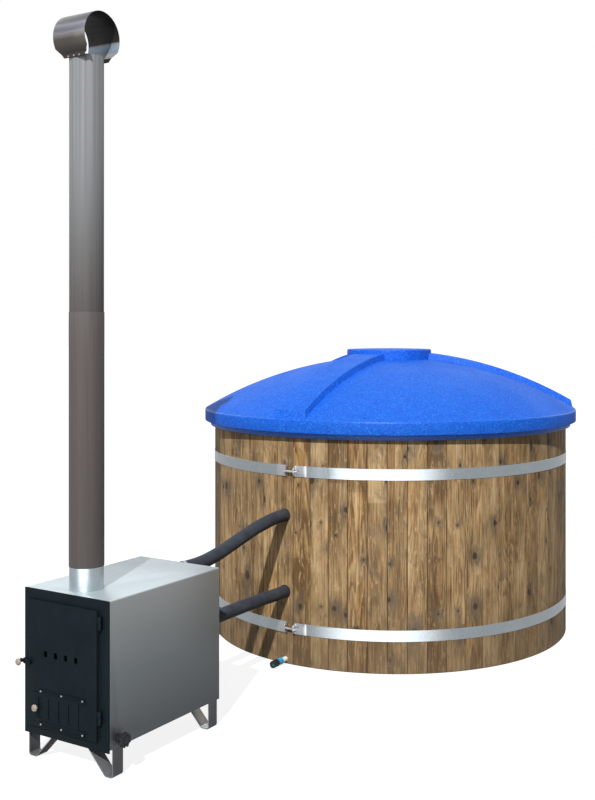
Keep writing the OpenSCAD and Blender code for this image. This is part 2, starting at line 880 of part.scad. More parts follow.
module stove_drain_wheel() {
    rim_in = wheel_r - 6;
    hub_r = cock_r + 1;
    color("#202020")
    along_plus_x(side_x + cock_l + slide_gap, cock_y, cock_z)
    difference() {
        cylinder(r = wheel_r, h = wheel_l);
        translate([0, 0, -over]) cylinder(r = cock_pin + turn_gap, h = wheel_l - 2 + over);
        for (a = [0 : 45 : 315])
            rotate(a) translate([wheel_r + 4, 0, -over]) cylinder(r = 8, h = wheel_l + 2 * over);
        translate([0, 0, -over]) tube(rim_in, hub_r, 7 + over);
        for (a = [22.5 : 45 : 337.5])
            rotate(a) translate([(rim_in + hub_r) / 2, 0, 0]) cylinder(r = 3, h = wheel_l + over, $fn = 24);
    }
}

// ---- hinges ----

module frame_hinges() {
    color("#1b2730")
    for (z = hinge_levels) {
        translate([hinge_x, hinge_y, z]) cylinder(r = barrel_r, h = barrel_l);
        translate([hinge_x, hinge_y, z]) cylinder(r = pin_r, h = 2 * barrel_l - 3);
        block(hinge_x - barrel_r / 2, hinge_x + barrel_r / 2, hinge_y, front_y, z, z + barrel_l);
    }
}

module door_hinges() {
    color("#1b2730")
    for (z = hinge_levels)
        difference() {
            union() {
                translate([hinge_x, hinge_y, z + barrel_l + slide_gap]) cylinder(r = barrel_r, h = barrel_l);
                block(door_right, hinge_x, door_face + 2, door_back - 2,
                    z + barrel_l + slide_gap, z + 2 * barrel_l + slide_gap);
            }
            translate([hinge_x, hinge_y, z + barrel_l - over])
                cylinder(r = pin_r + turn_gap, h = barrel_l + over - 2);
        }
}

// ---- door ----

module door_panel() {
    color("#1b2730")
    difference() {
        block(door_left, door_right, door_face, door_back, door_foot, door_foot + door_h);
        for (i = [0 : 3]) {
            x = air_x0 + i * slot_pitch;
            block(x - slot_w / 2, x + slot_w / 2, door_face - over, door_back + over,
                door_foot + slot_z - slot_h / 2, door_foot + slot_z + slot_h / 2);
            block(x - slot_w / 2, x + slot_w / 2, door_face - over, door_back + over,
                damper_mid - air_h / 2, damper_mid + air_h / 2);
        }
    }
}

module door_seal() {
    inner = seal_inset + seal_w;
    color("ivory")
    difference() {
        block(door_left + seal_inset, door_right - seal_inset, door_back, front_y,
            door_foot + seal_inset, door_foot + door_h - seal_inset);
        block(door_left + inner, door_right - inner, door_back - over, front_y + over,
            door_foot + inner, door_foot + door_h - inner);
    }
}

// ---- latch ----

module latch_pivot() {
    color("#1b2730")
    union() {
        along_minus_y(latch_x, door_face, latch_level)
            cylinder(r = latch_pin_r, h = latch_gap + latch_t + slide_gap + over);
        along_minus_y(latch_x, latch_back - latch_t - slide_gap, latch_level)
            cylinder(r = latch_pin_r + 4, h = 5);
    }
}

knob_at = latch_x - latch_l + 14;
knob_stud = 16;

module latch_bar() {
    color("#1b2730")
    difference() {
        union() {
            along_minus_y(latch_x, latch_back, latch_level) cylinder(r = latch_h / 2, h = latch_t);
            block(latch_x - latch_l, latch_x, latch_back - latch_t, latch_back,
                latch_level - latch_h / 2 + 2, latch_level + latch_h / 2 - 2);
            along_minus_y(knob_at, latch_back, latch_level) cylinder(r = 4, h = latch_t + knob_stud);
        }
        along_minus_y(latch_x, latch_back + over, latch_level)
            cylinder(r = latch_pin_r + turn_gap, h = latch_t + 2 * over);
    }
}

module latch_knob() {
    color("wheat")
    along_minus_y(knob_at, latch_back - latch_t - knob_stud, latch_level)
    union() {
        cylinder(r1 = pull_r - 3, r2 = pull_r, h = 3);
        translate([0, 0, 3]) cylinder(r = pull_r, h = 4);
        translate([0, 0, 7]) cylinder(r1 = pull_r, r2 = pull_r - 3, h = 3);
    }
}

module latch_keeper() {
    color("#1b2730")
    block(door_left - 18, door_left - 4, latch_back + 0.5, front_y,
        latch_level - latch_h / 2 - 4, latch_level + latch_h / 2);
}

// ---- air damper ----

screw_xs = [rail_x0 + 10, rail_x0 + rail_l / 2, rail_x0 + rail_l - 10];

// side is 1 for the top rail and -1 for the bottom one
module damper_rail(side) {
    mid = damper_mid + side * rail_span / 2;
    color("#1b2730")
    difference() {
        union() {
            block(rail_x0, rail_x0 + rail_l, door_face - rail_t, door_face,
                mid - rail_h / 2, mid + rail_h / 2);
            translate([rail_x0, door_face - rail_t, mid - side * rail_h / 2 - (side > 0 ? lip : over)])
                cube([rail_l, rail_t - slide_t - 2 * slide_gap, lip + over]);
        }
        for (x = screw_xs)
            along_minus_y(x, door_face + over, mid) cylinder(r = 2.5, h = rail_t + 2 * over);
    }
}
module damper_rail_top() { damper_rail(1); }
module damper_rail_bottom() { damper_rail(-1); }

module damper_screws() {
    color("lightgray")
    for (side = [-1, 1], x = screw_xs) {
        along_minus_y(x, door_face, damper_mid + side * rail_span / 2) cylinder(r = 2.5, h = rail_t + over);
        along_minus_y(x, door_face - rail_t, damper_mid + side * rail_span / 2)
            cylinder(r1 = 3.6, r2 = 2.6, h = 2);
    }
}

module damper_plate() {
    back = door_face - slide_gap;
    color("#1b2730")
    difference() {
        block(slide_x0, slide_x0 + slide_l, back - slide_t, back,
            damper_mid - slide_h / 2, damper_mid + slide_h / 2);
        for (i = [0 : 3]) {
            x = air_x0 + i * slot_pitch - damper_travel;
            block(x - slot_w / 2, x + slot_w / 2, back - slide_t - over, back + over,
                damper_mid - air_h / 2, damper_mid + air_h / 2);
        }
    }
}

module damper_knob() {
    color("wheat")
    along_minus_y(pull_x, door_face - slide_gap - slide_t, damper_mid - 2)
    union() {
        cylinder(r = 4, h = 9);
        translate([0, 0, 8]) cylinder(r = pull_r, h = 5);
        translate([0, 0, 13]) cylinder(r1 = pull_r, r2 = pull_r - 3, h = 3);
    }
}

// ---- flue ----

module flue_collar() {
    color("gainsboro")
    translate([flue_x, flue_y, fire_top])
        tube(collar_r, collar_r - collar_t, box_top - fire_top + collar_h + flue_lap);
}

module flue_lower() {
    foot = box_top + collar_h;
    color("#8a7f7b")
    translate([flue_x, flue_y, foot]) tube(lower_r, flue_r, flue_joint - foot);
}

module flue_upper() {
    foot = flue_joint - flue_lap;
    color("#8f8a88")
    translate([flue_x, flue_y, foot]) tube(flue_r, flue_r - flue_t, flue_top - foot);
}

cowl_foot = -cowl_up - cowl_lap;
lip_y = flue_r + cowl_t;

// A strip bent to a ring, its two ends straight down beside the pipe, with cut corners
module cowl() {
    lip_top = -sqrt(pow(cowl_r - cowl_t / 2, 2) - pow(lip_y, 2));
    corner_w = 30;
    corner_h = 34;
    end = cowl_l / 2;
    color("#8f8a88")
    translate([flue_x, flue_y, cowl_z])
    difference() {
        union() {
            difference() {
                translate([-end, 0, 0]) rotate([0, 90, 0]) tube(cowl_r, cowl_r - cowl_t, cowl_l);
                block(-cowl_l, cowl_l, -flue_r, flue_r, -cowl_r - over, lip_top + cowl_t);
            }
            for (turn = [0, 180])
                rotate(turn) {
                    block(-end, end, lip_y - cowl_t / 2, lip_y + cowl_t / 2, cowl_foot, lip_top);
                    intersection() {
                        translate([0, 0, cowl_foot]) tube(flue_r + cowl_t, flue_r, lip_top - cowl_foot);
                        block(-flue_r / 2, flue_r / 2, 0, 2 * flue_r, cowl_foot, lip_top);
                    }
                }
        }
        for (turn = [0, 180])
            rotate([90, 0, turn]) linear_extrude(4 * cowl_r, center = true)
                polygon([[end + over, cowl_foot + corner_h], [end + over, cowl_foot - over],
                    [end - corner_w, cowl_foot - over]]);
    }
}

module cowl_screws() {
    pitch = 26;
    color("lightgray")
    for (turn = [0, 180], i = [-1 : 1])
        translate([flue_x, flue_y, cowl_z + cowl_foot + cowl_lap / 2])
            rotate(turn) translate([i * pitch, lip_y + cowl_t / 2, 0]) rotate([-90, 0, 0])
                cylinder(r1 = 3.5, r2 = 2.5, h = 2);
}

base_joists();
base_deck();
staves();
liner();
bench_seat();
bench_uprights();
hoop_lower();
hoop_upper();
hoop_lugs();
hoop_bolts();
hoop_nuts();
port_fitting_hot();
port_fitting_cold();
port_gaskets();
port_nuts();
port_strainers();
hose_hot();
hose_cold();
hose_clamps();
floor_drain();
drain_pipe();
drain_valve();
drain_knob();
lid();
stove_casing();
stove_firebox();
stove_front();
fire_grate();
leg_front_left();
leg_front_right();
leg_rear_left();
leg_rear_right();
stove_stub_hot();
stove_stub_cold();
stove_drain_cock();
stove_drain_wheel();
frame_hinges();
latch_keeper();
door_panel();
door_seal();
door_hinges();
latch_pivot();
latch_bar();
latch_knob();
damper_rail_top();
damper_rail_bottom();
damper_screws();
damper_plate();
damper_knob();
flue_collar();
flue_lower();
flue_upper();
cowl();
cowl_screws();
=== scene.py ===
import math

import bpy
import numpy as np
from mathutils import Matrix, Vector


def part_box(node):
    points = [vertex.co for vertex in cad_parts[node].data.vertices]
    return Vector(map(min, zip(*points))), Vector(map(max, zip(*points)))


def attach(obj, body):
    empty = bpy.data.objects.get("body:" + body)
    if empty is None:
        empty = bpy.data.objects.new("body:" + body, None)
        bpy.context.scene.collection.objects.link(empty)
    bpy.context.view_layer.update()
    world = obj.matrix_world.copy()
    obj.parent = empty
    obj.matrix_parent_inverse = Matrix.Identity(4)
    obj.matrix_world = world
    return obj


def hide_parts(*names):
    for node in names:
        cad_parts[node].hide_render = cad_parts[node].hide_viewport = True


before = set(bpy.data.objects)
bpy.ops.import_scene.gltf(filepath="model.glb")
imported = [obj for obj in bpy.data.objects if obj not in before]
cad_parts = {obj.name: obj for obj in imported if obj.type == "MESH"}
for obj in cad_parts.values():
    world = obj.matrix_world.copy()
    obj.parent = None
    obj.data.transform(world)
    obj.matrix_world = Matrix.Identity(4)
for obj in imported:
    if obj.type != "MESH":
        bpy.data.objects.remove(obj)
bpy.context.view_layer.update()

# ---- sizes in metres, from the frame or repeated from the model's source ----

STAVES_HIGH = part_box("staves")[1]
TUB_R = STAVES_HIGH.x
STAVE_TOP = STAVES_HIGH.z
STAVE_T = 0.042
STAVE_IN = TUB_R - STAVE_T
STAVE_COUNT = 64
STAVE_JOINT = 0.0008
STAVE_EASE = 0.003

LID_LOW, LID_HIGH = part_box("lid")
LID_R = LID_HIGH.x
LID_FOOT = LID_LOW.z
DISC_R = 0.218
DISC_H = 0.042
DISC_CROWN = 0.004
DOME_H = LID_HIGH.z - LID_FOOT - DISC_H
LID_RIM = 0.054
LID_WALL = 0.006
SHOULDER = 0.006
RIB_H = 0.031
RIB_W = 0.176
RIB_FLANK = 0.0085
RIB_END = 0.012
RIB_ANGLES = (-90, 30, 150)

# Where the ends of a hoop stand, to the left and right of the tub's front
HOOP_GAP = (-0.028, 0.012)

CASING_LOW, CASING_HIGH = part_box("stove_casing")
FLUE_LOW, FLUE_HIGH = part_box("flue_upper")
FLUE_X = (FLUE_LOW.x + FLUE_HIGH.x) / 2
FLUE_Y = (FLUE_LOW.y + FLUE_HIGH.y) / 2

HOSE_D = 0.055
# The hoses' middle lines, as in the model's source
HOT_ROUTE = [(-.036, -1.644, .569), (-.036, -1.6, .568), (-.037, -1.54, .568), (-.038, -1.47, .573),
             (-.039, -1.39, .586), (-.04, -1.3, .607), (-.041, -1.21, .628), (-.042, -1.12, .648),
             (-.043, -1.03, .662), (-.044, -.96, .669), (-.044, -.905, .669)]
COLD_ROUTE = [(-.036, -1.644, .328), (-.036, -1.6, .328), (-.038, -1.48, .327), (-.04, -1.34, .328),
              (-.041, -1.2, .329), (-.042, -1.08, .328), (-.044, -.98, .325), (-.044, -.905, .325)]

# Side offset and height of the drain pipe
DRAIN_AT = (-0.04, 0.022)

# Holes in the staves: sunk round each hose's end, and cut past the inside for the fittings and the drain
FITTING_HOLE_R = 0.0205
DRAIN_HOLE_R = 0.0115
HOSE_SINK_R = 0.031
HOSE_SINK = 0.004
HOLE_PAST = 0.02


# ---- camera ----

IMAGE_W, IMAGE_H = 595, 800
FOCAL_PX = 1075
CENTRE_PX = (335, 327.5)
CAMERA_AT = (2.685, -4.920, 1.5165)
CAMERA_TURN = 31.5


def make_camera():
    """A level camera; the shift puts its axis on the photograph's vanishing point."""
    data = bpy.data.cameras.new("camera")
    data.sensor_width = 36
    data.lens = FOCAL_PX * data.sensor_width / IMAGE_H
    data.shift_x = (IMAGE_W / 2 - CENTRE_PX[0]) / IMAGE_H
    data.shift_y = (CENTRE_PX[1] - IMAGE_H / 2) / IMAGE_H
    camera = bpy.data.objects.new("camera", data)
    camera.location = CAMERA_AT
    camera.rotation_euler = (math.radians(90), 0, math.radians(CAMERA_TURN))
    bpy.context.collection.objects.link(camera)
    bpy.context.scene.camera = camera


make_camera()


# ---- shader helpers ----

class Shader:
    """A Principled material, with short calls for the nodes that feed it."""

    def __init__(self, name, **settings):
        self.material = bpy.data.materials.new(name)
        self.material.use_nodes = True
        self.nodes = self.material.node_tree.nodes
        self.links = self.material.node_tree.links
        self.surface = self.nodes["Principled BSDF"]
        for key, value in settings.items():
            self.surface.inputs[key.replace("_", " ")].default_value = value
        place = self.nodes.new("ShaderNodeTexCoord").outputs
        self.at, self.facing = place["Object"], place["Normal"]

    def put(self, socket, value):
        """Links a node's output to a socket, or writes a number or colour on it."""
        if isinstance(value, bpy.types.NodeSocket):
            self.links.new(value, socket)
        elif isinstance(value, tuple) and len(value) == 3 and socket.type == "RGBA":
            socket.default_value = (*value, 1)
        else:
            socket.default_value = value

    def set(self, name, value):
        self.put(self.surface.inputs[name], value)

    def math(self, operation, a, b=0.0):
        node = self.nodes.new("ShaderNodeMath")
        node.operation = operation
        for socket, value in zip(node.inputs, (a, b)):
            self.put(socket, value)
        return node.outputs[0]

    def plus(self, total, *others):
        for other in others:
            total = self.math("ADD", total, other)
        return total

    def minus(self, a, b):
        return self.math("SUBTRACT", a, b)

    def times(self, a, b):
        return self.math("MULTIPLY", a, b)

    def vector(self, operation, a, b=(0, 0, 0), scale=1.0):
        node = self.nodes.new("ShaderNodeVectorMath")
        node.operation = operation
        self.put(node.inputs[0], a)
        self.put(node.inputs[1], b)
        if operation == "SCALE":
            self.put(node.inputs["Scale"], scale)
        return node.outputs["Value" if operation in ("LENGTH", "DOT_PRODUCT") else "Vector"]

    def split(self, vector):
        node = self.nodes.new("ShaderNodeSeparateXYZ")
        self.put(node.inputs[0], vector)
        return node.outputs

    def join(self, x=0.0, y=0.0, z=0.0):
        node = self.nodes.new("ShaderNodeCombineXYZ")
        for socket, value in zip(node.inputs, (x, y, z)):
            self.put(socket, value)
        return node.outputs[0]

    def noise(self, vector, scale, detail=3.0, roughness=0.55, colour=False):
        node = self.nodes.new("ShaderNodeTexNoise")
        self.put(node.inputs["Vector"], vector)
        self.put(node.inputs["Scale"], scale)
        self.put(node.inputs["Detail"], detail)
        self.put(node.inputs["Roughness"], roughness)
        return node.outputs["Color" if colour else "Fac"]

    def cells(self, vector, scale=1.0):
        node = self.nodes.new("ShaderNodeTexVoronoi")
        self.put(node.inputs["Vector"], vector)
        self.put(node.inputs["Scale"], scale)
        return node.outputs

    def random(self, value, colour=True):
        node = self.nodes.new("ShaderNodeTexWhiteNoise")
        node.noise_dimensions = "1D"
        self.put(node.inputs["W"], value)
        return node.outputs["Color" if colour else "Value"]

    def spread(self, value, low, high, to_low=0.0, to_high=1.0, smooth=False):
        """Maps low..high to to_low..to_high, and stays within them."""
        node = self.nodes.new("ShaderNodeMapRange")
        node.clamp = True
        if smooth:
            node.interpolation_type = "SMOOTHSTEP"
        for name, v in (("Value", value), ("From Min", low), ("From Max", high),
                        ("To Min", to_low), ("To Max", to_high)):
            self.put(node.inputs[name], v)
        return node.outputs["Result"]

    def mix(self, amount, a, b, blend="MIX"):
        node = self.nodes.new("ShaderNodeMix")
        node.data_type = "RGBA"
        node.blend_type = blend
        node.clamp_factor = True
        self.put(node.inputs[0], amount)
        self.put(node.inputs[6], a)
        self.put(node.inputs[7], b)
        return node.outputs[2]

    def tinted(self, amount, colour, tint):
        """The colour multiplied by a tint, where amount says so."""
        return self.mix(amount, colour, self.mix(1.0, colour, tint, "MULTIPLY"))

    def ramp(self, value, *stops):
        node = self.nodes.new("ShaderNodeValToRGB")
        self.put(node.inputs[0], value)
        marks = node.color_ramp.elements
        while len(marks) < len(stops):
            marks.new(0.5)
        for mark, (place, colour) in zip(marks, stops):
            mark.position = place
            mark.color = (*colour, 1)
        return node.outputs["Color"]

    def bump(self, height, distance, strength=1.0, under=None):
        node = self.nodes.new("ShaderNodeBump")
        self.put(node.inputs["Height"], height)
        self.put(node.inputs["Distance"], distance)
        self.put(node.inputs["Strength"], strength)
        if under is not None:
            self.put(node.inputs["Normal"], under)
        return node.outputs["Normal"]

    def stretched(self, x, y, z):
        return self.vector("MULTIPLY", self.at, (x, y, z))


def turn_of(shader, x, y):
    """Share of a full turn round +Z, 0 at -Y and growing towards +X."""
    angle = shader.math("ARCTAN2", y, x)
    return shader.plus(shader.math("DIVIDE", angle, 2 * math.pi), 1.25)


# ---- wood ----

def scattered_knots(s, x, z, offset, share):
    """Whether a board has a knot at a place, and the distance from its middle in knot radii."""
    x_scale, z_scale = 12.0, 4.6
    smallest, largest = 0.003, 0.019
    place = s.join(s.times(x, x_scale), s.times(z, z_scale), offset)
    knots = s.cells(place)
    away = s.vector("SUBTRACT", place, knots["Position"])
    away = s.vector("MULTIPLY", away, (1 / x_scale, 0.75 / z_scale, 0))
    wobble = s.vector("SUBTRACT", s.noise(place, 11.0, 2, colour=True), (0.5, 0.5, 0.5))
    distance = s.vector("LENGTH", s.vector("ADD", away, s.vector("SCALE", wobble, scale=0.009)))
    chance, size, _ = s.split(knots["Color"])
    radius = s.spread(s.times(size, size), 0.0, 1.0, smallest, largest)
    return s.math("LESS_THAN", chance, share), s.math("DIVIDE", distance, radius)


def grained_wood(s, across, along, seed, tones, knot_share):
    """Flat-sawn spruce: growth rings that run round knots, fine fibres, torn grain and stained patches.

    across and along are metres on the board's face, seed is a random colour for the board."""
    dark, middle, light, knot, stain = tones
    # Three random numbers for the board
    r1, r2, r3 = s.split(seed)
    z = s.plus(along, s.times(r1, 17.0))
    x = s.plus(across, s.times(r2, 5.0))
    there, reach = scattered_knots(s, x, z, s.times(r3, 9.0), knot_share)
    near = s.times(there, s.math("EXPONENT", s.times(s.times(reach, reach), -0.16)))
    core = s.times(there, s.spread(reach, 0.6, 1.15, 1.0, 0.0, smooth=True))
    halo = s.times(s.spread(reach, 0.8, 1.2, smooth=True), s.spread(reach, 1.3, 2.8, 1.0, 0.0, smooth=True))
    bent = s.plus(x, s.times(near, 0.012))

    def figure(side, side_scale, length_scale, offset, detail, roughness):
        """Noise drawn out along the board."""
        place = s.join(s.times(side, side_scale), s.times(z, length_scale), offset)
        return s.noise(place, 1.0, detail, roughness)

    # Growth rings, closer together on some boards
    field = s.times(figure(x, 11.0, 0.95, r3, 2.4, 0.45), s.spread(r1, 0.0, 1.0, 12.0, 30.0))
    phase = s.math("FRACT", s.plus(field, s.times(near, 0.9)))
    ring = s.times(s.spread(phase, 0.1, 0.9, smooth=True), s.spread(phase, 0.9, 1.0, 1.0, 0.0))

    # Light and dark: by board, by the lengths that a board is joined from, by patches, streaks and fibres
    fibre = figure(bent, 420.0, 11.0, r1, 4, 0.62)
    streak = figure(bent, 85.0, 2.2, r2, 5, 0.65)
    patch = figure(x, 15.0, 4.5, r2, 4, 0.6)
    lengths = s.math("FLOOR", s.plus(s.times(along, 1.7), s.times(r2, 7.0)))
    joined = s.random(s.plus(lengths, s.times(r3, 50.0)), colour=False)
    tone = s.plus(s.spread(r1, 0.0, 1.0, 0.36, 0.64), s.spread(streak, 0.3, 0.7, -0.22, 0.22),
                  s.spread(joined, 0.0, 1.0, -0.17, 0.1), s.spread(patch, 0.34, 0.66, -0.24, 0.2))
    tone = s.minus(tone, s.times(ring, s.spread(r2, 0.0, 1.0, 0.08, 0.4)))
    tone = s.plus(tone, s.spread(fibre, 0.3, 0.7, -0.2, 0.2))
    tone = s.minus(tone, s.times(s.times(there, halo), 0.2))
    colour = s.ramp(tone, (0.0, dark), (0.42, middle), (1.0, light))

    # Warmer and cooler places, dark heartwood and pale torn grain
    warm = figure(x, 9.0, 2.6, r1, 4, 0.6)
    warmth = s.plus(s.spread(warm, 0.35, 0.65, -0.5, 0.5), s.spread(r2, 0.0, 1.0, -0.5, 0.5))
    colour = s.tinted(s.spread(warmth, 0.0, 0.9), colour, (1.0, 0.86, 0.60))
    colour = s.tinted(s.spread(warmth, 0.0, -0.9), colour, (0.92, 0.95, 0.98))
    heart = s.spread(figure(bent, 26.0, 0.7, r1, 3, 0.55), 0.56, 0.63, smooth=True)
    colour = s.tinted(s.times(heart, s.spread(r3, 0.3, 0.7, 0.15, 0.7)), colour, (0.58, 0.46, 0.36))
    torn = figure(bent, 95.0, 19.0, r2, 5, 0.7)
    colour = s.mix(s.spread(torn, 0.56, 0.68, 0.0, 0.55), colour, light)

    # Stains, most of them round the knots, then the knots and fine cracks
    blot = figure(x, 30.0, 12.0, r3, 6, 0.7)
    colour = s.mix(s.spread(blot, 0.55, 0.70, 0.0, 0.7), colour, stain)
    smear = s.times(s.times(there, s.spread(reach, 5.5, 1.5)), s.spread(blot, 0.36, 0.56))
    colour = s.mix(s.times(smear, 0.75), colour, stain)
    colour = s.mix(s.times(core, 0.9), colour, knot)
    crack = s.spread(figure(bent, 300.0, 8.0, r3, 2, 0.5), 0.70, 0.76)
    crack = s.times(crack, s.spread(patch, 0.45, 0.4))
    colour = s.mix(s.times(crack, 0.7), colour, knot)

    height = s.minus(s.times(fibre, 0.5), s.times(ring, 0.35))
    return colour, s.minus(height, s.plus(s.times(core, 0.4), crack))


# Tones of a wood: dark, middle, light, knots and stains
SPRUCE = ((0.125, 0.072, 0.03), (0.342, 0.216, 0.101), (0.63, 0.455, 0.252), (0.024, 0.017, 0.012),
          (0.125, 0.1, 0.072))
PINE = ((0.30, 0.19, 0.09), (0.52, 0.37, 0.21), (0.68, 0.52, 0.33), (0.16, 0.08, 0.04), (0.46, 0.34, 0.2))


def stave_wood():
    """Spruce staves with dark joints, painted shade towards the foot, and painted light that makes the
    front of the tub paler.
    """
    s = Shader("stave_wood", Roughness=0.62, Specular_IOR_Level=0.25)
    x, y, z = s.split(s.at)
    turns = s.times(turn_of(s, x, y), STAVE_COUNT)
    across = s.minus(s.math("FRACT", turns), 0.5)
    width = 2 * math.pi * TUB_R / STAVE_COUNT
    seed = s.random(s.math("FLOOR", turns))
    colour, height = grained_wood(s, s.times(across, width), z, seed, SPRUCE, knot_share=0.5)
    smoke = s.noise(s.join(s.times(turns, 0.9), s.times(z, 2.5), 0.0), 1.0, 4, 0.6)
    edge = s.spread(s.math("ABSOLUTE", across), 0.455, 0.497, smooth=True)
    edge = s.times(edge, s.spread(smoke, 0.35, 0.6, 0.2, 1.0))
    colour = s.mix(s.times(edge, 0.52), colour, (0.055, 0.034, 0.017))
    # Painted shade: the staves darken towards the foot
    above_foot = s.plus(z, s.spread(smoke, 0.3, 0.7, -0.05, 0.05))
    colour = s.mix(s.spread(above_foot, 0.0, 0.42, 0.52, 0.0, smooth=True), colour, (0.1, 0.068, 0.04))
    # Painted light: the staves are paler at the front of the tub and darker towards its sides and back
    painted_front_light = s.spread(y, -0.72, -0.3, 1.12, 0.88, smooth=True)
    s.set("Base Color", s.vector("SCALE", colour, scale=painted_front_light))
    s.set("Roughness", s.spread(smoke, 0.2, 0.8, 0.52, 0.72))
    s.set("Normal", s.bump(height, 0.0012, 0.7))
    return s.material


def plank_wood(name, along_axis):
    """Planed softwood for the parts inside; along_axis is the length of the boards."""
    board = 0.149
    s = Shader(name, Roughness=0.6, Specular_IOR_Level=0.25)
    x, y, z = s.split(s.at)
    across, along = (y, x) if along_axis == "X" else (x, y)
    across = s.plus(across, z)
    seed = s.random(s.math("FLOOR", s.math("DIVIDE", across, board)))
    colour, height = grained_wood(s, across, along, seed, PINE, knot_share=0.4)
    s.set("Base Color", colour)
    s.set("Normal", s.bump(height, 0.0008, 0.6))
    return s.material


def knob_wood():
    """Turned pale wood with fine lines."""
    s = Shader("knob_wood", Roughness=0.45, Specular_IOR_Level=0.35)
    lines = s.noise(s.stretched(60, 400, 900), 1.0, 4, 0.6)
    pale = (0.55, 0.47, 0.40)
    s.set("Base Color", s.ramp(lines, (0.25, (0.27, 0.21, 0.17)), (0.55, (0.42, 0.34, 0.285)), (0.8, pale)))
    s.set("Normal", s.bump(lines, 0.0003, 0.5))
    return s.material


# ---- plastics ----

def speckled_blue(name, base, dark, pale, roughness, edge_z):
    """Rotomoulded polyethylene with granite flecks and a faint orange peel, rubbed glossy at its edge."""
    s = Shader(name, Roughness=roughness, Specular_IOR_Level=0.3)
    flecks = s.cells(s.at, 165.0)
    kind, _, _ = s.split(flecks["Color"])
    fine = s.noise(s.at, 300.0, 3, 0.7)
    cloud = s.noise(s.at, 4.5, 4, 0.6)
    colour = s.mix(s.spread(cloud, 0.3, 0.7, 0.0, 0.3), base, tuple(0.8 * c for c in base))
    round_fleck = s.spread(flecks["Distance"], 0.35, 0.62, 1.0, 0.0)
    light = s.times(s.math("GREATER_THAN", kind, 0.8), round_fleck)
    deep = s.times(s.math("LESS_THAN", kind, 0.25), round_fleck)
    colour = s.mix(s.times(light, 0.6), colour, pale)
    colour = s.mix(s.times(deep, 0.85), colour, dark)
    colour = s.mix(s.spread(fine, 0.52, 0.66, 0.0, 0.5), colour, pale)
    colour = s.mix(s.spread(fine, 0.48, 0.34, 0.0, 0.8), colour, dark)
    s.set("Base Color", colour)
    from_edge = s.math("ABSOLUTE", s.minus(s.split(s.at)[2], edge_z))
    rubbed = s.spread(from_edge, 0.005, 0.003, 0.0, 0.28)
    uneven = s.spread(cloud, 0.3, 0.7, roughness - 0.05, roughness + 0.08)
    s.set("Roughness", s.minus(uneven, rubbed))
    peel = s.noise(s.at, 240.0, 2, 0.5)
    s.set("Normal", s.bump(peel, 0.0007, 0.35))
    return s.material


def moulded(name, colour, roughness, specular=0.4):
    """Plain moulded plastic with a slight unevenness and dust."""
    s = Shader(name, Roughness=roughness, Specular_IOR_Level=specular)
    cloud = s.noise(s.at, 60.0, 4, 0.6)
    grain = s.noise(s.at, 900.0, 2, 0.5)
    worn = tuple(min(1, c * 1.5 + 0.03) for c in colour)
    s.set("Base Color", s.mix(s.spread(cloud, 0.35, 0.75, 0.0, 0.36), colour, worn))
    s.set("Roughness", s.spread(cloud, 0.3, 0.7, roughness - 0.07, roughness + 0.1))
    s.set("Normal", s.bump(grain, 0.0002, 0.5))
    return s.material


def hose_rubber():
    """Smooth black rubber, dusty on top, with painted shade underneath."""
    s = Shader("hose_rubber", Specular_IOR_Level=0.16)
    below = s.spread(s.split(s.facing)[2], 0.0, -0.7)
    cloud = s.noise(s.at, 22.0, 4, 0.6)
    lines = s.noise(s.stretched(420, 6, 420), 1.0, 3, 0.6)
    dust = s.spread(s.noise(s.at, 130.0, 4, 0.65), 0.55, 0.75, 0.0, 0.25)
    colour = s.mix(s.spread(cloud, 0.35, 0.7), (0.036, 0.043, 0.056), (0.062, 0.07, 0.088))
    colour = s.mix(dust, colour, (0.13, 0.14, 0.145))
    # Painted shade: faces that look down are made near black
    colour = s.mix(below, colour, (0.004, 0.005, 0.006))
    s.set("Base Color", colour)
    s.set("Roughness", s.spread(cloud, 0.3, 0.7, 0.48, 0.68))
    s.set("Normal", s.bump(lines, 0.0006, 0.4))
    return s.material


def rope_seal():
    """Woven glass rope: two crossing families of strands."""
    s = Shader("rope_seal", Roughness=0.9, Specular_IOR_Level=0.1, Sheen_Weight=0.2)
    x, _, z = s.split(s.at)
    one = s.math("SINE", s.times(s.plus(x, z), 1900.0))
    two = s.math("SINE", s.times(s.minus(x, z), 1900.0))
    weave = s.math("MAXIMUM", one, two)
    s.set("Base Color", s.mix(s.spread(weave, -0.3, 1.0), (0.30, 0.28, 0.25), (0.62, 0.59, 0.52)))
    s.set("Normal", s.bump(weave, 0.0006, 0.8))
    return s.material


# ---- metals ----

def galvanised(name, colour, metallic=0.85, roughness=0.3, spangle=110.0, contrast=0.05):
    """Zinc-coated strip: faint spangles, drawn lines along its length and dull patches."""
    s = Shader(name, Metallic=metallic, Roughness=roughness)
    bend = s.vector("SCALE", s.noise(s.at, 90.0, 2, colour=True), scale=0.006)
    crystal = s.cells(s.vector("ADD", s.at, bend), spangle)
    tone, gloss, _ = s.split(crystal["Color"])
    cloud = s.noise(s.at, 7.0, 4, 0.6)
    drawn = s.noise(s.stretched(14, 14, 1500), 1.0, 3, 0.6)
    shade = s.plus(s.spread(tone, 0.0, 1.0, 1 - contrast, 1 + contrast),
                   s.spread(cloud, 0.3, 0.7, -contrast, contrast), s.spread(drawn, 0.3, 0.7, -0.06, 0.06))
    s.set("Base Color", s.vector("SCALE", s.join(*colour), scale=shade))
    s.set("Roughness", s.plus(s.spread(gloss, 0.0, 1.0, roughness - 0.03, roughness + 0.03),
                              s.spread(cloud, 0.3, 0.7, -0.03, 0.04)))
    s.set("Normal", s.bump(s.plus(s.times(tone, 0.2), drawn), 0.00015, 0.3))
    return s.material


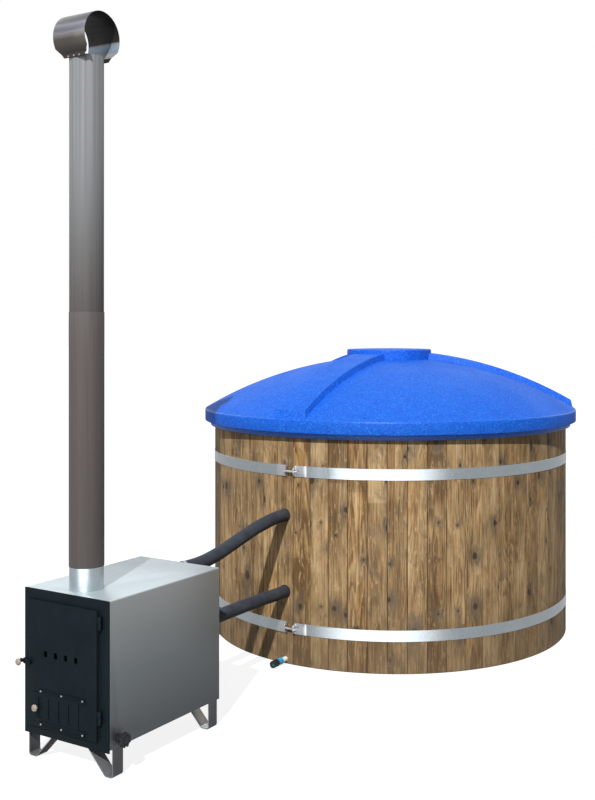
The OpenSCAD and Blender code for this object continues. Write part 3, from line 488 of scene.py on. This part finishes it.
def leg_strip():
    """Flat bar with painted shade on the upright sides and underneath, and painted light on the rear slopes
    that face up.
    """
    s = Shader("leg_steel", Specular_IOR_Level=0.1)
    side, _, up = s.split(s.facing)
    # Masks for painted shade underneath and painted light on the rear slopes that face up
    below = s.spread(up, -0.35, -0.6)
    rear = s.math("GREATER_THAN", s.split(s.at)[1], (CASING_LOW.y + CASING_HIGH.y) / 2)
    painted_rear_slope_light = s.times(s.spread(up, 0.35, 0.6), rear)
    cloud = s.noise(s.at, 24.0, 4, 0.6)
    drawn = s.noise(s.stretched(14, 1500, 14), 1.0, 3, 0.6)
    upright = s.spread(s.math("ABSOLUTE", side), 0.86, 0.97)
    # Painted shade on the upright sides, painted light on the rear slopes, painted shade underneath
    colour = s.mix(upright, (0.235, 0.245, 0.25), (0.115, 0.12, 0.125))
    colour = s.mix(painted_rear_slope_light, colour, (0.68, 0.69, 0.7))
    colour = s.mix(below, colour, (0.01, 0.01, 0.01))
    shade = s.plus(s.spread(cloud, 0.3, 0.7, 0.85, 1.15), s.spread(drawn, 0.3, 0.7, -0.06, 0.06))
    s.set("Base Color", s.vector("SCALE", colour, scale=shade))
    s.set("Metallic", s.spread(below, 0.0, 1.0, 0.55, 0.0))
    s.set("Roughness", s.spread(cloud, 0.3, 0.7, 0.4, 0.55))
    s.set("Normal", s.bump(drawn, 0.00015, 0.3))
    return s.material


def casing_sheet():
    """Satin galvanised sheet with painted shade that darkens the sides towards the foot and a painted light
    top; the top sheet has a shallow cross break.
    """
    s = Shader("casing_sheet", Metallic=0.6, Roughness=0.42)
    x, y, z = s.split(s.at)
    low, high = CASING_LOW, CASING_HIGH
    middle, half = (low + high) / 2, (high - low) / 2
    cloud = s.noise(s.at, 3.0, 3, 0.5)
    brushed = s.noise(s.stretched(30, 30, 1500), 1.0, 3, 0.6)
    # Painted shade: the sides darken from the shoulder down to the foot
    rise = s.spread(s.plus(z, s.spread(cloud, 0.3, 0.7, -0.03, 0.03)), low.z, high.z)
    foot, waist, shoulder = (0.11, 0.121, 0.128), (0.22, 0.24, 0.246), (0.392, 0.402, 0.4)
    side = s.ramp(rise, (0.0, foot), (0.5, waist), (1.0, shoulder))
    # Painted light: the top sheet is much paler than the sides
    on_top = s.spread(z, high.z - 0.004, high.z - 0.0005)
    colour = s.mix(on_top, side, (0.60, 0.665, 0.69))
    colour = s.mix(s.spread(brushed, 0.35, 0.7, 0.0, 0.12), colour, (0.36, 0.385, 0.4))
    stain = s.spread(s.noise(s.at, 24.0, 5, 0.7), 0.58, 0.8, 0.0, 0.12)
    colour = s.mix(stain, colour, (0.07, 0.07, 0.07))
    s.set("Base Color", colour)
    s.set("Roughness", s.spread(cloud, 0.3, 0.7, 0.38, 0.5))
    out_x = s.math("DIVIDE", s.math("ABSOLUTE", s.minus(x, middle.x)), half.x)
    out_y = s.math("DIVIDE", s.math("ABSOLUTE", s.minus(y, middle.y)), half.y)
    pyramid = s.times(s.minus(1.0, s.math("MAXIMUM", out_x, out_y)), on_top)
    creased = s.bump(pyramid, 0.007, 1.0)
    s.set("Normal", s.bump(brushed, 0.00015, 0.3, creased))
    return s.material


def flue_steel():
    """Rolled stainless tube: brown-grey from the heat, paler towards the top, with soft drawn streaks."""
    s = Shader("flue_steel", Metallic=0.75, Roughness=0.85)
    x, y, z = s.split(s.at)
    round_x = s.minus(x, FLUE_X)
    round_y = s.minus(y, FLUE_Y)
    streak = s.noise(s.join(s.times(round_x, 70.0), s.times(round_y, 70.0), s.times(z, 0.35)), 1.0, 4, 0.55)
    fine = s.noise(s.join(s.times(round_x, 700.0), s.times(round_y, 700.0), s.times(z, 3.0)), 1.0, 3, 0.6)
    heat = s.spread(s.plus(z, s.spread(streak, 0.3, 0.7, -0.15, 0.15)), 1.4, 2.2, smooth=True)
    colour = s.mix(heat, (0.146, 0.122, 0.113), (0.345, 0.358, 0.37))
    colour = s.mix(s.spread(streak, 0.3, 0.7, 0.0, 0.35), colour, (0.11, 0.102, 0.1))
    colour = s.mix(s.spread(fine, 0.45, 0.75, 0.0, 0.2), colour, (0.27, 0.255, 0.245))
    s.set("Base Color", colour)
    s.set("Roughness", s.spread(streak, 0.3, 0.7, 0.8, 0.9))
    s.set("Normal", s.bump(fine, 0.0002, 0.3))
    return s.material


def cowl_steel():
    """The cowl's strip: outside, heat tint mixed with painted highlights and painted shade in bands round
    its axis; inside, painted light low down and soot with painted shade towards the top.
    """
    s = Shader("cowl_steel", Metallic=0.6, Roughness=0.4)
    low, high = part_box("cowl")
    radius = (high.y - low.y) / 2
    _, y, z = s.split(s.at)
    from_axis = s.join(0.0, s.minus(y, FLUE_Y), s.minus(z, high.z - radius))
    rise = s.math("DIVIDE", s.split(from_axis)[2], radius)
    drawn = s.noise(s.stretched(12, 300, 300), 1.0, 4, 0.6)
    cloud = s.noise(s.at, 16.0, 4, 0.6)
    wave = s.plus(rise, s.spread(cloud, 0.3, 0.7, -0.03, 0.03))
    height = s.spread(wave, -0.9, 1.0)
    # Outside: heat tint in bands, with painted highlight bands and painted shade on the underside
    tint = s.ramp(height, (0.0, (0.05, 0.042, 0.038)), (0.19, (0.1, 0.084, 0.075)),
                  (0.38, (0.136, 0.115, 0.096)), (0.44, (0.25, 0.235, 0.228)), (0.5, (0.34, 0.33, 0.35)),
                  (0.57, (0.21, 0.2, 0.24)), (0.63, (0.255, 0.255, 0.305)), (0.69, (0.335, 0.338, 0.37)),
                  (0.75, (0.175, 0.17, 0.183)), (0.82, (0.16, 0.155, 0.167)), (0.89, (0.2, 0.19, 0.2)))
    # Inside: a pale, blue-grey painted reflection low down, soot and painted shade towards the top
    soot = s.ramp(height, (0.0, (0.4, 0.375, 0.35)), (0.19, (0.5, 0.485, 0.485)),
                  (0.28, (0.32, 0.41, 0.51)), (0.36, (0.38, 0.5, 0.62)), (0.44, (0.46, 0.49, 0.53)),
                  (0.48, (0.04, 0.037, 0.035)), (1.0, (0.012, 0.011, 0.011)))
    outside = s.math("GREATER_THAN", s.vector("LENGTH", from_axis), radius - 0.0007)
    colour = s.mix(outside, soot, tint)
    colour = s.mix(s.spread(drawn, 0.35, 0.7, 0.0, 0.25), colour, (0.1, 0.09, 0.085))
    s.set("Base Color", colour)
    s.set("Roughness", s.spread(cloud, 0.3, 0.7, 0.36, 0.5))
    s.set("Normal", s.bump(drawn, 0.0002, 0.3))
    return s.material


def black_paint():
    """Heat-proof paint: faint texture, dust, and bare metal rubbed through in small places."""
    s = Shader("black_paint", Roughness=0.5, Specular_IOR_Level=0.12)
    colour = (0.0035, 0.0072, 0.0098)
    cloud = s.noise(s.at, 9.0, 5, 0.6)
    grain = s.noise(s.at, 1300.0, 2, 0.6)
    scuff = s.noise(s.stretched(30, 30, 140), 1.0, 5, 0.7)
    tone = s.mix(s.spread(cloud, 0.3, 0.7), colour, tuple(c * 1.6 for c in colour))
    tone = s.mix(s.spread(scuff, 0.62, 0.8, 0.0, 0.3), tone, (0.05, 0.058, 0.062))
    s.set("Base Color", tone)
    s.set("Roughness", s.spread(cloud, 0.3, 0.7, 0.42, 0.6))
    s.set("Normal", s.bump(grain, 0.00025, 0.5))
    return s.material


def sooty_steel():
    """Bare steel under soot, with some rust."""
    s = Shader("sooty_steel", Metallic=0.3, Roughness=0.8)
    cloud = s.noise(s.at, 14.0, 6, 0.7)
    s.set("Base Color", s.ramp(cloud, (0.3, (0.012, 0.011, 0.010)), (0.55, (0.035, 0.03, 0.027)),
                               (0.75, (0.11, 0.06, 0.035))))
    s.set("Roughness", s.spread(cloud, 0.3, 0.7, 0.7, 0.95))
    s.set("Normal", s.bump(cloud, 0.002, 0.5))
    return s.material


MATERIALS = {
    "stave_wood": stave_wood(),
    "boards_x": plank_wood("boards_x", "X"),
    "boards_y": plank_wood("boards_y", "Y"),
    "lid_blue": speckled_blue("lid_blue", base=(0.006, 0.128, 0.72), dark=(0.003, 0.045, 0.42),
                              pale=(0.04, 0.30, 1.0), roughness=0.6, edge_z=LID_FOOT + LID_RIM + 0.002),
    "liner_blue": speckled_blue("liner_blue", base=(0.062, 0.2, 0.68), dark=(0.02, 0.09, 0.42),
                                pale=(0.15, 0.34, 0.85), roughness=0.38, edge_z=LID_FOOT),
    "band": galvanised("band", (0.475, 0.51, 0.53), metallic=0.95, roughness=0.2, contrast=0.03),
    "zinc": galvanised("zinc", (0.55, 0.56, 0.57), spangle=400.0),
    "collar": galvanised("collar", (0.50, 0.56, 0.59), spangle=160.0, contrast=0.03),
    "leg_steel": leg_strip(),
    "casing": casing_sheet(),
    "flue": flue_steel(),
    "cowl": cowl_steel(),
    "black": black_paint(),
    "soot": sooty_steel(),
    "hose": hose_rubber(),
    "seal": rope_seal(),
    "rubber": moulded("rubber", (0.018, 0.018, 0.018), 0.7, 0.25),
    "dark_plastic": moulded("dark_plastic", (0.012, 0.0125, 0.014), 0.42),
    "white_plastic": moulded("white_plastic", (0.78, 0.78, 0.74), 0.4),
    "valve_blue": moulded("valve_blue", (0.025, 0.33, 0.62), 0.32),
    "knob_wood": knob_wood(),
}


# ---- mesh helpers ----

def piece(name, points, faces, body, material, stands_for, sharp=32.0):
    """A new mesh piece, in place in the row frame, that rides on a body."""
    mesh = bpy.data.meshes.new(name)
    mesh.from_pydata([tuple(p) for p in points], [], faces)
    mesh.validate()
    mesh.polygons.foreach_set("use_smooth", [True] * len(mesh.polygons))
    mesh.set_sharp_from_angle(angle=math.radians(sharp))
    obj = bpy.data.objects.new(name, mesh)
    bpy.context.collection.objects.link(obj)
    mesh.materials.append(MATERIALS[material])
    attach(obj, body)
    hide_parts(*stands_for)
    return obj


def dress(node, material, bevel):
    """A better finish for a CAD node, with its edges eased by a bevel."""
    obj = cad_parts[node]
    obj.data.materials.clear()
    obj.data.materials.append(MATERIALS[material])
    if bevel:
        # Fixed normals would keep the bevel from looking round
        if "custom_normal" in obj.data.attributes:
            obj.data.attributes.remove(obj.data.attributes["custom_normal"])
        obj.data.polygons.foreach_set("use_smooth", [True] * len(obj.data.polygons))
        weld = obj.modifiers.new("weld", "WELD")
        weld.merge_threshold = 1e-5
        round_off = obj.modifiers.new("bevel", "BEVEL")
        round_off.width = bevel
        round_off.segments = 2
        round_off.limit_method = "ANGLE"
        round_off.angle_limit = math.radians(40)
        split = obj.modifiers.new("split", "EDGE_SPLIT")
        split.split_angle = math.radians(38)


def turned_strip(profile, start, end, steps):
    """Points and faces of a closed profile of (radius, height), turned about Z between two angles."""
    n = len(profile)
    angles = np.radians(np.linspace(start, end, steps + 1))
    points = [(r * math.cos(a), r * math.sin(a), z) for a in angles for r, z in profile]
    faces = []
    for i in range(steps):
        for k in range(n):
            m = (k + 1) % n
            faces.append((i * n + m, (i + 1) * n + m, (i + 1) * n + k, i * n + k))
    faces += [tuple(reversed(range(n))), tuple(steps * n + k for k in range(n))]
    return points, faces


def smooth_route(route, step=0.012):
    """A Catmull-Rom line through the route's points, straight at both ends."""
    p = [Vector(v) for v in route]
    p = [2 * p[0] - p[1]] + p + [2 * p[-1] - p[-2]]
    line = []
    for i in range(1, len(p) - 2):
        a, b, c, d = p[i - 1:i + 3]
        steps = max(2, round((c - b).length / step))
        for j in range(steps):
            t = j / steps
            line.append(0.5 * (2 * b + (c - a) * t + (2 * a - 5 * b + 4 * c - d) * t * t
                               + (3 * b - a - 3 * c + d) * t ** 3))
    return line + [p[-2]]


def swept_tube(line, radius, sides=40, ease=0.0015):
    """A round tube along a line, with slightly eased ends."""
    points, faces = [], []
    rings = [(line[0], radius - ease)] + [(p, radius) for p in line] + [(line[-1], radius - ease)]
    heads = [Vector((0, 1, 0))] + [(line[min(i + 1, len(line) - 1)] - line[max(i - 1, 0)]).normalized()
                                   for i in range(len(line))] + [Vector((0, 1, 0))]
    heads[1] = heads[-2] = Vector((0, 1, 0))
    shift = [Vector()] * len(rings)
    shift[1], shift[-2] = Vector((0, ease, 0)), Vector((0, -ease, 0))
    for (middle, r), head, move in zip(rings, heads, shift):
        side = head.cross(Vector((0, 0, 1))).normalized()
        up = side.cross(head)
        for k in range(sides):
            a = 2 * math.pi * k / sides
            points.append(middle + move + r * (math.cos(a) * side + math.sin(a) * up))
    for i in range(len(rings) - 1):
        for k in range(sides):
            n = (k + 1) % sides
            faces.append((i * sides + k, i * sides + n, (i + 1) * sides + n, (i + 1) * sides + k))
    last = (len(rings) - 1) * sides
    faces += [tuple(reversed(range(sides))), tuple(last + k for k in range(sides))]
    return points, faces


# ---- hoses ----

def hose(name, node, route):
    """A hose that lies taut along its route, from the stove to the tub."""
    line = smooth_route(route)
    points, faces = swept_tube(line, HOSE_D / 2)
    obj = piece(name, points, faces, "root", "hose", [node])


hose("hose_hot_rubber", "hose_hot", HOT_ROUTE)
hose("hose_cold_rubber", "hose_cold", COLD_ROUTE)


# ---- stave wall ----

def stave_section():
    """Corner points of one stave, as (radius, angle from its middle), with eased outer edges."""
    half = math.pi / STAVE_COUNT
    gap = STAVE_JOINT / 2
    edge = half - gap / TUB_R
    inner_edge = half - gap / STAVE_IN
    steps = [(STAVE_IN, inner_edge), (TUB_R - STAVE_EASE, edge),
             (TUB_R - STAVE_EASE * 0.35, edge - STAVE_EASE * 0.3 / TUB_R),
             (TUB_R, edge - STAVE_EASE / TUB_R), (TUB_R, edge * 0.5), (TUB_R, 0.0)]
    return steps + [(r, -a) for r, a in reversed(steps[:-1])]


def bore(obj, x, z, radius, to_y):
    """Cuts a round hole along Y into a piece, from 50 mm outside the tub to to_y."""
    angles = np.linspace(0, 2 * math.pi, 48, endpoint=False)
    ring = [(radius * math.cos(a), radius * math.sin(a)) for a in angles]
    points = [(x + across, y, z + up) for y in (-TUB_R - 0.05, to_y) for across, up in ring]
    n = len(ring)
    faces = [(k, (k + 1) % n, n + (k + 1) % n, n + k) for k in range(n)]
    faces += [tuple(reversed(range(n))), tuple(range(n, 2 * n))]
    mesh = bpy.data.meshes.new("bore")
    mesh.from_pydata(points, [], faces)
    drill = bpy.data.objects.new("bore", mesh)
    bpy.context.collection.objects.link(drill)
    cut = obj.modifiers.new("bore", "BOOLEAN")
    cut.operation = "DIFFERENCE"
    cut.solver = "EXACT"
    cut.object = drill
    graph = bpy.context.evaluated_depsgraph_get()
    drilled = bpy.data.meshes.new_from_object(obj.evaluated_get(graph))
    obj.modifiers.remove(cut)
    old, obj.data = obj.data, drilled
    bpy.data.meshes.remove(old)
    drilled.name = obj.name
    bpy.data.objects.remove(drill)
    bpy.data.meshes.remove(mesh)


def stave_wall():
    """All staves as one mesh, with the holes for the fittings, the hoses' ends and the drain."""
    points, faces = [], []
    section = stave_section()
    n = len(section)
    levels = [(0.0, STAVE_EASE), (STAVE_EASE, 0.0), (STAVE_TOP, 0.0)]
    for i in range(STAVE_COUNT):
        middle = 2 * math.pi * (i + 0.5) / STAVE_COUNT - math.pi / 2
        first = len(points)
        for z, ease in levels:
            for r, a in section:
                r = min(r, TUB_R - ease)
                points.append((r * math.cos(middle + a), r * math.sin(middle + a), z))
        for level in range(len(levels) - 1):
            for k in range(n):
                m = (k + 1) % n
                a, b = first + level * n + k, first + level * n + m
                faces.append((b, a, a + n, b + n))
        faces.append(tuple(first + k for k in range(n)))
        faces.append(tuple(first + (len(levels) - 1) * n + k for k in reversed(range(n))))
    wall = piece("stave_wall", points, faces, "root", "stave_wood", ["staves"], sharp=25)
    inside = HOLE_PAST - STAVE_IN
    for x, _, z in (HOT_ROUTE[-1], COLD_ROUTE[-1]):
        bore(wall, x, z, FITTING_HOLE_R, inside)
        bore(wall, x, z, HOSE_SINK_R, HOSE_SINK - TUB_R)
    bore(wall, *DRAIN_AT, DRAIN_HOLE_R, inside)


stave_wall()


# ---- lid ----

def sphere_drop(radius, r):
    """How far a sphere lies below its top at distance r from its axis."""
    return radius - math.sqrt(radius * radius - r * r)


DOME_EDGE = LID_R - SHOULDER
DOME_DROP = DOME_H - LID_RIM - SHOULDER
DOME_R = (DOME_EDGE ** 2 + DOME_DROP ** 2) / (2 * DOME_DROP)
RIB_REACH = DOME_EDGE - 0.004


def step_up(x):
    """A smooth step from 0 to 1."""
    x = min(1.0, max(0.0, x))
    return x * x * (3 - 2 * x)


def rib_offsets():
    """Distances of the lid's mesh lines from a rib's middle: close together on the flank."""
    edge = RIB_W / 2
    return [0.0, 0.02, 0.04, 0.06, 0.072, edge - 0.0095, edge - 0.0085, edge - 0.0072, edge - 0.0045,
            edge - 0.0018, edge - 0.0005, edge + 0.0005, edge + 0.004]


def rib_rise(offset, r):
    """Height over the dome at a distance from the rib's middle, with rounded edges and a sloped end."""
    edge = RIB_W / 2
    return RIB_H * step_up((edge - offset) / RIB_FLANK) * step_up((RIB_REACH - r) / RIB_END)


def lid_columns(r):
    """Angle and rib offset of every mesh column at radius r: straight along ribs, fanned between them."""
    offsets = rib_offsets()
    between = 34
    columns = []
    reach = max(r, DISC_R)
    last = math.asin(offsets[-1] / reach)
    half = [(math.asin(d / reach), d) for d in offsets]
    half += [(last + (math.pi / 3 - last) * k / between, 1.0) for k in range(1, between)]
    for a in RIB_ANGLES:
        middle = math.radians(a)
        columns += [(middle - turn, d) for turn, d in reversed(half[1:])]
        columns += [(middle + turn, d) for turn, d in half]
        columns.append((middle + math.pi / 3, 1.0))
    return columns


def lid_rows():
    """Radius, height and whether ribs rise there, from the disc's middle out and back underneath."""
    top = LID_FOOT + DOME_H
    disc = top + DISC_H
    rows = [(r, disc - DISC_CROWN * (r / DISC_R) ** 2, False) for r in (0.05, 0.1, 0.15, 0.19)]
    edge = disc - DISC_CROWN
    ease = 0.006
    rows += [(DISC_R - ease + ease * math.sin(a), edge - ease * (1 - math.cos(a)), False)
             for a in np.radians((0, 22, 45, 68, 90))]
    rows += [(DISC_R, None, True)]
    rows += [(r, None, True) for r in np.linspace(DISC_R + 0.003, RIB_REACH - 0.016, 44)]
    rows += [(RIB_REACH - d, None, True) for d in (RIB_END, 0.0095, 0.007, 0.0045, 0.002, 0.0)]
    rim_top = LID_FOOT + LID_RIM
    rows += [(DOME_EDGE, None, False), (LID_R - 0.0045, rim_top + 0.0052, False),
             (LID_R - 0.0018, rim_top + 0.0036, False), (LID_R - 0.0004, rim_top + 0.001, False),
             (LID_R, rim_top - 0.002, False), (LID_R, LID_FOOT + 0.004, False),
             (LID_R - 0.001, LID_FOOT + 0.001, False), (LID_R - 0.004, LID_FOOT, False),
             (LID_R - 0.043, LID_FOOT, False), (LID_R - 0.045, LID_FOOT + 0.002, False)]
    inside = np.linspace(LID_R - 0.045, 0.03, 24)
    rows += [(r, top - LID_WALL - sphere_drop(DOME_R, r), False) for r in inside]
    return rows


def lid_shell():
    """The lid as one shell: crowned disc, dome with three raised ribs, upright rim, hollow underneath."""
    top = LID_FOOT + DOME_H
    points, faces = [], []
    rows = lid_rows()
    for r, z, ribbed in rows:
        base = top - sphere_drop(DOME_R, r) if z is None else z
        for a, offset in lid_columns(r):
            rise = rib_rise(offset, r) if ribbed else 0.0
            points.append((r * math.cos(a), r * math.sin(a), base + rise))
    steps = len(points) // len(rows)
    for k in range(len(rows) - 1):
        for i in range(steps):
            j = (i + 1) % steps
            faces.append((k * steps + i, (k + 1) * steps + i, (k + 1) * steps + j, k * steps + j))
    last = (len(rows) - 1) * steps
    faces += [tuple(range(steps)), tuple(last + i for i in reversed(range(steps)))]
    piece("lid_shell", points, faces, "lid", "lid_blue", ["lid"], sharp=50)


lid_shell()


# ---- hoops ----

def hoop_band(name, node):
    """A steel band round the staves, open at the front, with eased outer edges."""
    low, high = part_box(node)
    outer = high.x
    ease = 0.0006
    gap_left, gap_right = HOOP_GAP
    start = math.degrees(math.atan2(-outer, gap_right))
    end = 360 + math.degrees(math.atan2(-outer, gap_left))
    profile = [(TUB_R, low.z), (outer - ease, low.z), (outer, low.z + ease), (outer, high.z - ease),
               (outer - ease, high.z), (TUB_R, high.z)]
    points, faces = turned_strip(profile, start, end, 240)
    piece(name, points, faces, "root", "band", [node])


hoop_band("hoop_lower_band", "hoop_lower")
hoop_band("hoop_upper_band", "hoop_upper")


# ---- CAD nodes that keep their shape ----

# By material, each node with the width of the bevel on its edges
KEPT = {
    "boards_y": (("base_joists", 0.003),),
    "boards_x": (("base_deck", 0.002), ("bench_seat", 0.003), ("bench_uprights", 0.003)),
    "liner_blue": (("liner", 0.002),),
    "zinc": (("hoop_lugs", 0.0008), ("hoop_bolts", 0.0006), ("hoop_nuts", 0.0006),
             ("hose_clamps", 0.0004), ("stove_stub_hot", 0.0008), ("stove_stub_cold", 0.0008),
             ("damper_screws", 0.0003), ("cowl_screws", 0.0003)),
    "dark_plastic": (("port_fitting_hot", 0.0015), ("port_fitting_cold", 0.0015), ("port_nuts", 0.001),
                     ("port_strainers", 0.001), ("drain_knob", 0.001), ("stove_drain_wheel", 0.0015),
                     ("stove_drain_cock", 0.0008)),
    "rubber": (("port_gaskets", 0.0),),
    "white_plastic": (("floor_drain", 0.001), ("drain_pipe", 0.001)),
    "valve_blue": (("drain_valve", 0.001),),
    "casing": (("stove_casing", 0.0012),),
    "soot": (("stove_firebox", 0.001), ("fire_grate", 0.001)),
    "black": (("stove_front", 0.001), ("frame_hinges", 0.0008), ("latch_keeper", 0.001),
              ("door_panel", 0.0015), ("door_hinges", 0.0008), ("latch_pivot", 0.0008),
              ("latch_bar", 0.0008), ("damper_rail_top", 0.0006), ("damper_rail_bottom", 0.0006),
              ("damper_plate", 0.0004)),
    "seal": (("door_seal", 0.001),),
    "knob_wood": (("latch_knob", 0.0015), ("damper_knob", 0.0015)),
    "leg_steel": (("leg_front_left", 0.0008), ("leg_front_right", 0.0008), ("leg_rear_left", 0.0008),
                  ("leg_rear_right", 0.0008)),
    "collar": (("flue_collar", 0.0005),),
    "flue": (("flue_lower", 0.0004), ("flue_upper", 0.0004)),
    "cowl": (("cowl", 0.0003),),
}
for material, nodes in KEPT.items():
    for node, bevel in nodes:
        dress(node, material, bevel)


# ---- world, floor and sun ----

SUN_AZIMUTH, SUN_ELEVATION = -68, 41.5
SUN_STRENGTH = 3.6
SUN_WIDTH = 1.0
FLOOR_SIZE = 60.0
FLOOR_Z = -0.001
FLOOR_TONE = 0.26
FLOOR_LIFT = 0.86


def towards(azimuth, elevation=0.0):
    """The direction of an azimuth (0 is +X, 90 is +Y) and an elevation, in degrees."""
    a, e = math.radians(azimuth), math.radians(elevation)
    return Vector((math.cos(a) * math.cos(e), math.sin(a) * math.cos(e), math.sin(e)))


def make_world():
    """White to the camera, softer from the left for diffuse rays, and two bright sides for reflections."""
    world = bpy.data.worlds.new("studio")
    bpy.context.scene.world = world
    world.use_nodes = True
    tree = world.node_tree
    tree.nodes.remove(tree.nodes["Background"])
    new, link = tree.nodes.new, tree.links.new
    way = new("ShaderNodeTexCoord").outputs["Generated"]

    def level(direction, low, high, to_low, to_high):
        """A strength that goes from to_low to to_high as a ray turns towards the direction."""
        share = new("ShaderNodeVectorMath")
        share.operation = "DOT_PRODUCT"
        share.inputs[1].default_value = direction
        link(way, share.inputs[0])
        spread = new("ShaderNodeMapRange")
        spread.interpolation_type = "SMOOTHSTEP"
        for name, value in (("From Min", low), ("From Max", high), ("To Min", to_low), ("To Max", to_high)):
            spread.inputs[name].default_value = value
        link(share.outputs["Value"], spread.inputs["Value"])
        return spread.outputs["Result"]

    def combine(operation, a, b):
        node = new("ShaderNodeMath")
        node.operation = operation
        link(a, node.inputs[0])
        link(b, node.inputs[1])
        return node.outputs[0]

    def background(strength, colour=(1, 1, 1, 1)):
        node = new("ShaderNodeBackground")
        node.inputs["Color"].default_value = colour
        if isinstance(strength, bpy.types.NodeSocket):
            link(strength, node.inputs["Strength"])
        else:
            node.inputs["Strength"].default_value = strength
        return node.outputs[0]

    def switch(amount, a, b):
        node = new("ShaderNodeMixShader")
        link(amount, node.inputs[0])
        link(a, node.inputs[1])
        link(b, node.inputs[2])
        return node.outputs[0]

    left = (-0.87, -0.40, 0.0)
    behind = level(towards(SUN_AZIMUTH + 186), 0.0, 0.8, 0.0, 1.0)
    above = level((0, 0, 1), 0.08, 0.4, 0.0, 0.9)
    sunward = level(towards(SUN_AZIMUTH), 0.70, 0.96, 0.58, 2.6)
    mirrored = combine("ADD", sunward, combine("MULTIPLY", behind, above))
    ambient = level(left, -1.0, 1.0, 0.06, 0.42)
    path = new("ShaderNodeLightPath").outputs
    light = switch(path["Is Glossy Ray"], background(ambient, (0.94, 0.97, 1, 1)),
                   background(mirrored, (0.95, 0.98, 1, 1)))
    straight = combine("MAXIMUM", path["Is Camera Ray"], path["Is Transmission Ray"])
    link(switch(straight, light, background(1.0)), tree.nodes["World Output"].inputs["Surface"])


def make_floor():
    """A pale floor, lifted to white for the camera, that keeps only the object's shadow.

    Metals look through it at the world, so they reflect the same surroundings on all sides."""
    mesh = bpy.data.meshes.new("floor")
    corners = [(x * FLOOR_SIZE, y * FLOOR_SIZE, FLOOR_Z) for x, y in ((-1, -1), (1, -1), (1, 1), (-1, 1))]
    mesh.from_pydata(corners, [], [(0, 1, 2, 3)])
    floor = bpy.data.objects.new("floor", mesh)
    bpy.context.collection.objects.link(floor)
    material = bpy.data.materials.new("floor")
    mesh.materials.append(material)
    material.use_nodes = True
    tree = material.node_tree
    surface = tree.nodes["Principled BSDF"]
    surface.inputs["Base Color"].default_value = (FLOOR_TONE, FLOOR_TONE, FLOOR_TONE, 1)
    surface.inputs["Roughness"].default_value = 1
    surface.inputs["Specular IOR Level"].default_value = 0
    surface.inputs["Emission Color"].default_value = (1, 1, 1, 1)
    path = tree.nodes.new("ShaderNodeLightPath").outputs
    lift = tree.nodes.new("ShaderNodeMath")
    lift.operation = "MULTIPLY"
    lift.inputs[1].default_value = FLOOR_LIFT
    tree.links.new(path["Is Camera Ray"], lift.inputs[0])
    tree.links.new(lift.outputs[0], surface.inputs["Emission Strength"])
    choose = tree.nodes.new("ShaderNodeMixShader")
    tree.links.new(path["Is Glossy Ray"], choose.inputs[0])
    tree.links.new(surface.outputs[0], choose.inputs[1])
    tree.links.new(tree.nodes.new("ShaderNodeBsdfTransparent").outputs[0], choose.inputs[2])
    tree.links.new(choose.outputs[0], tree.nodes["Material Output"].inputs["Surface"])


def make_sun():
    """One sun lamp. Its direction matters, its place doesn't."""
    data = bpy.data.lights.new("sun", "SUN")
    data.energy = SUN_STRENGTH
    data.angle = math.radians(SUN_WIDTH)
    sun = bpy.data.objects.new("sun", data)
    way = towards(SUN_AZIMUTH, SUN_ELEVATION)
    sun.location = 8 * way
    sun.rotation_mode = "QUATERNION"
    sun.rotation_quaternion = way.to_track_quat("Z", "Y")
    bpy.context.collection.objects.link(sun)


bpy.context.scene.view_settings.view_transform = "Standard"
make_world()
make_floor()
make_sun()
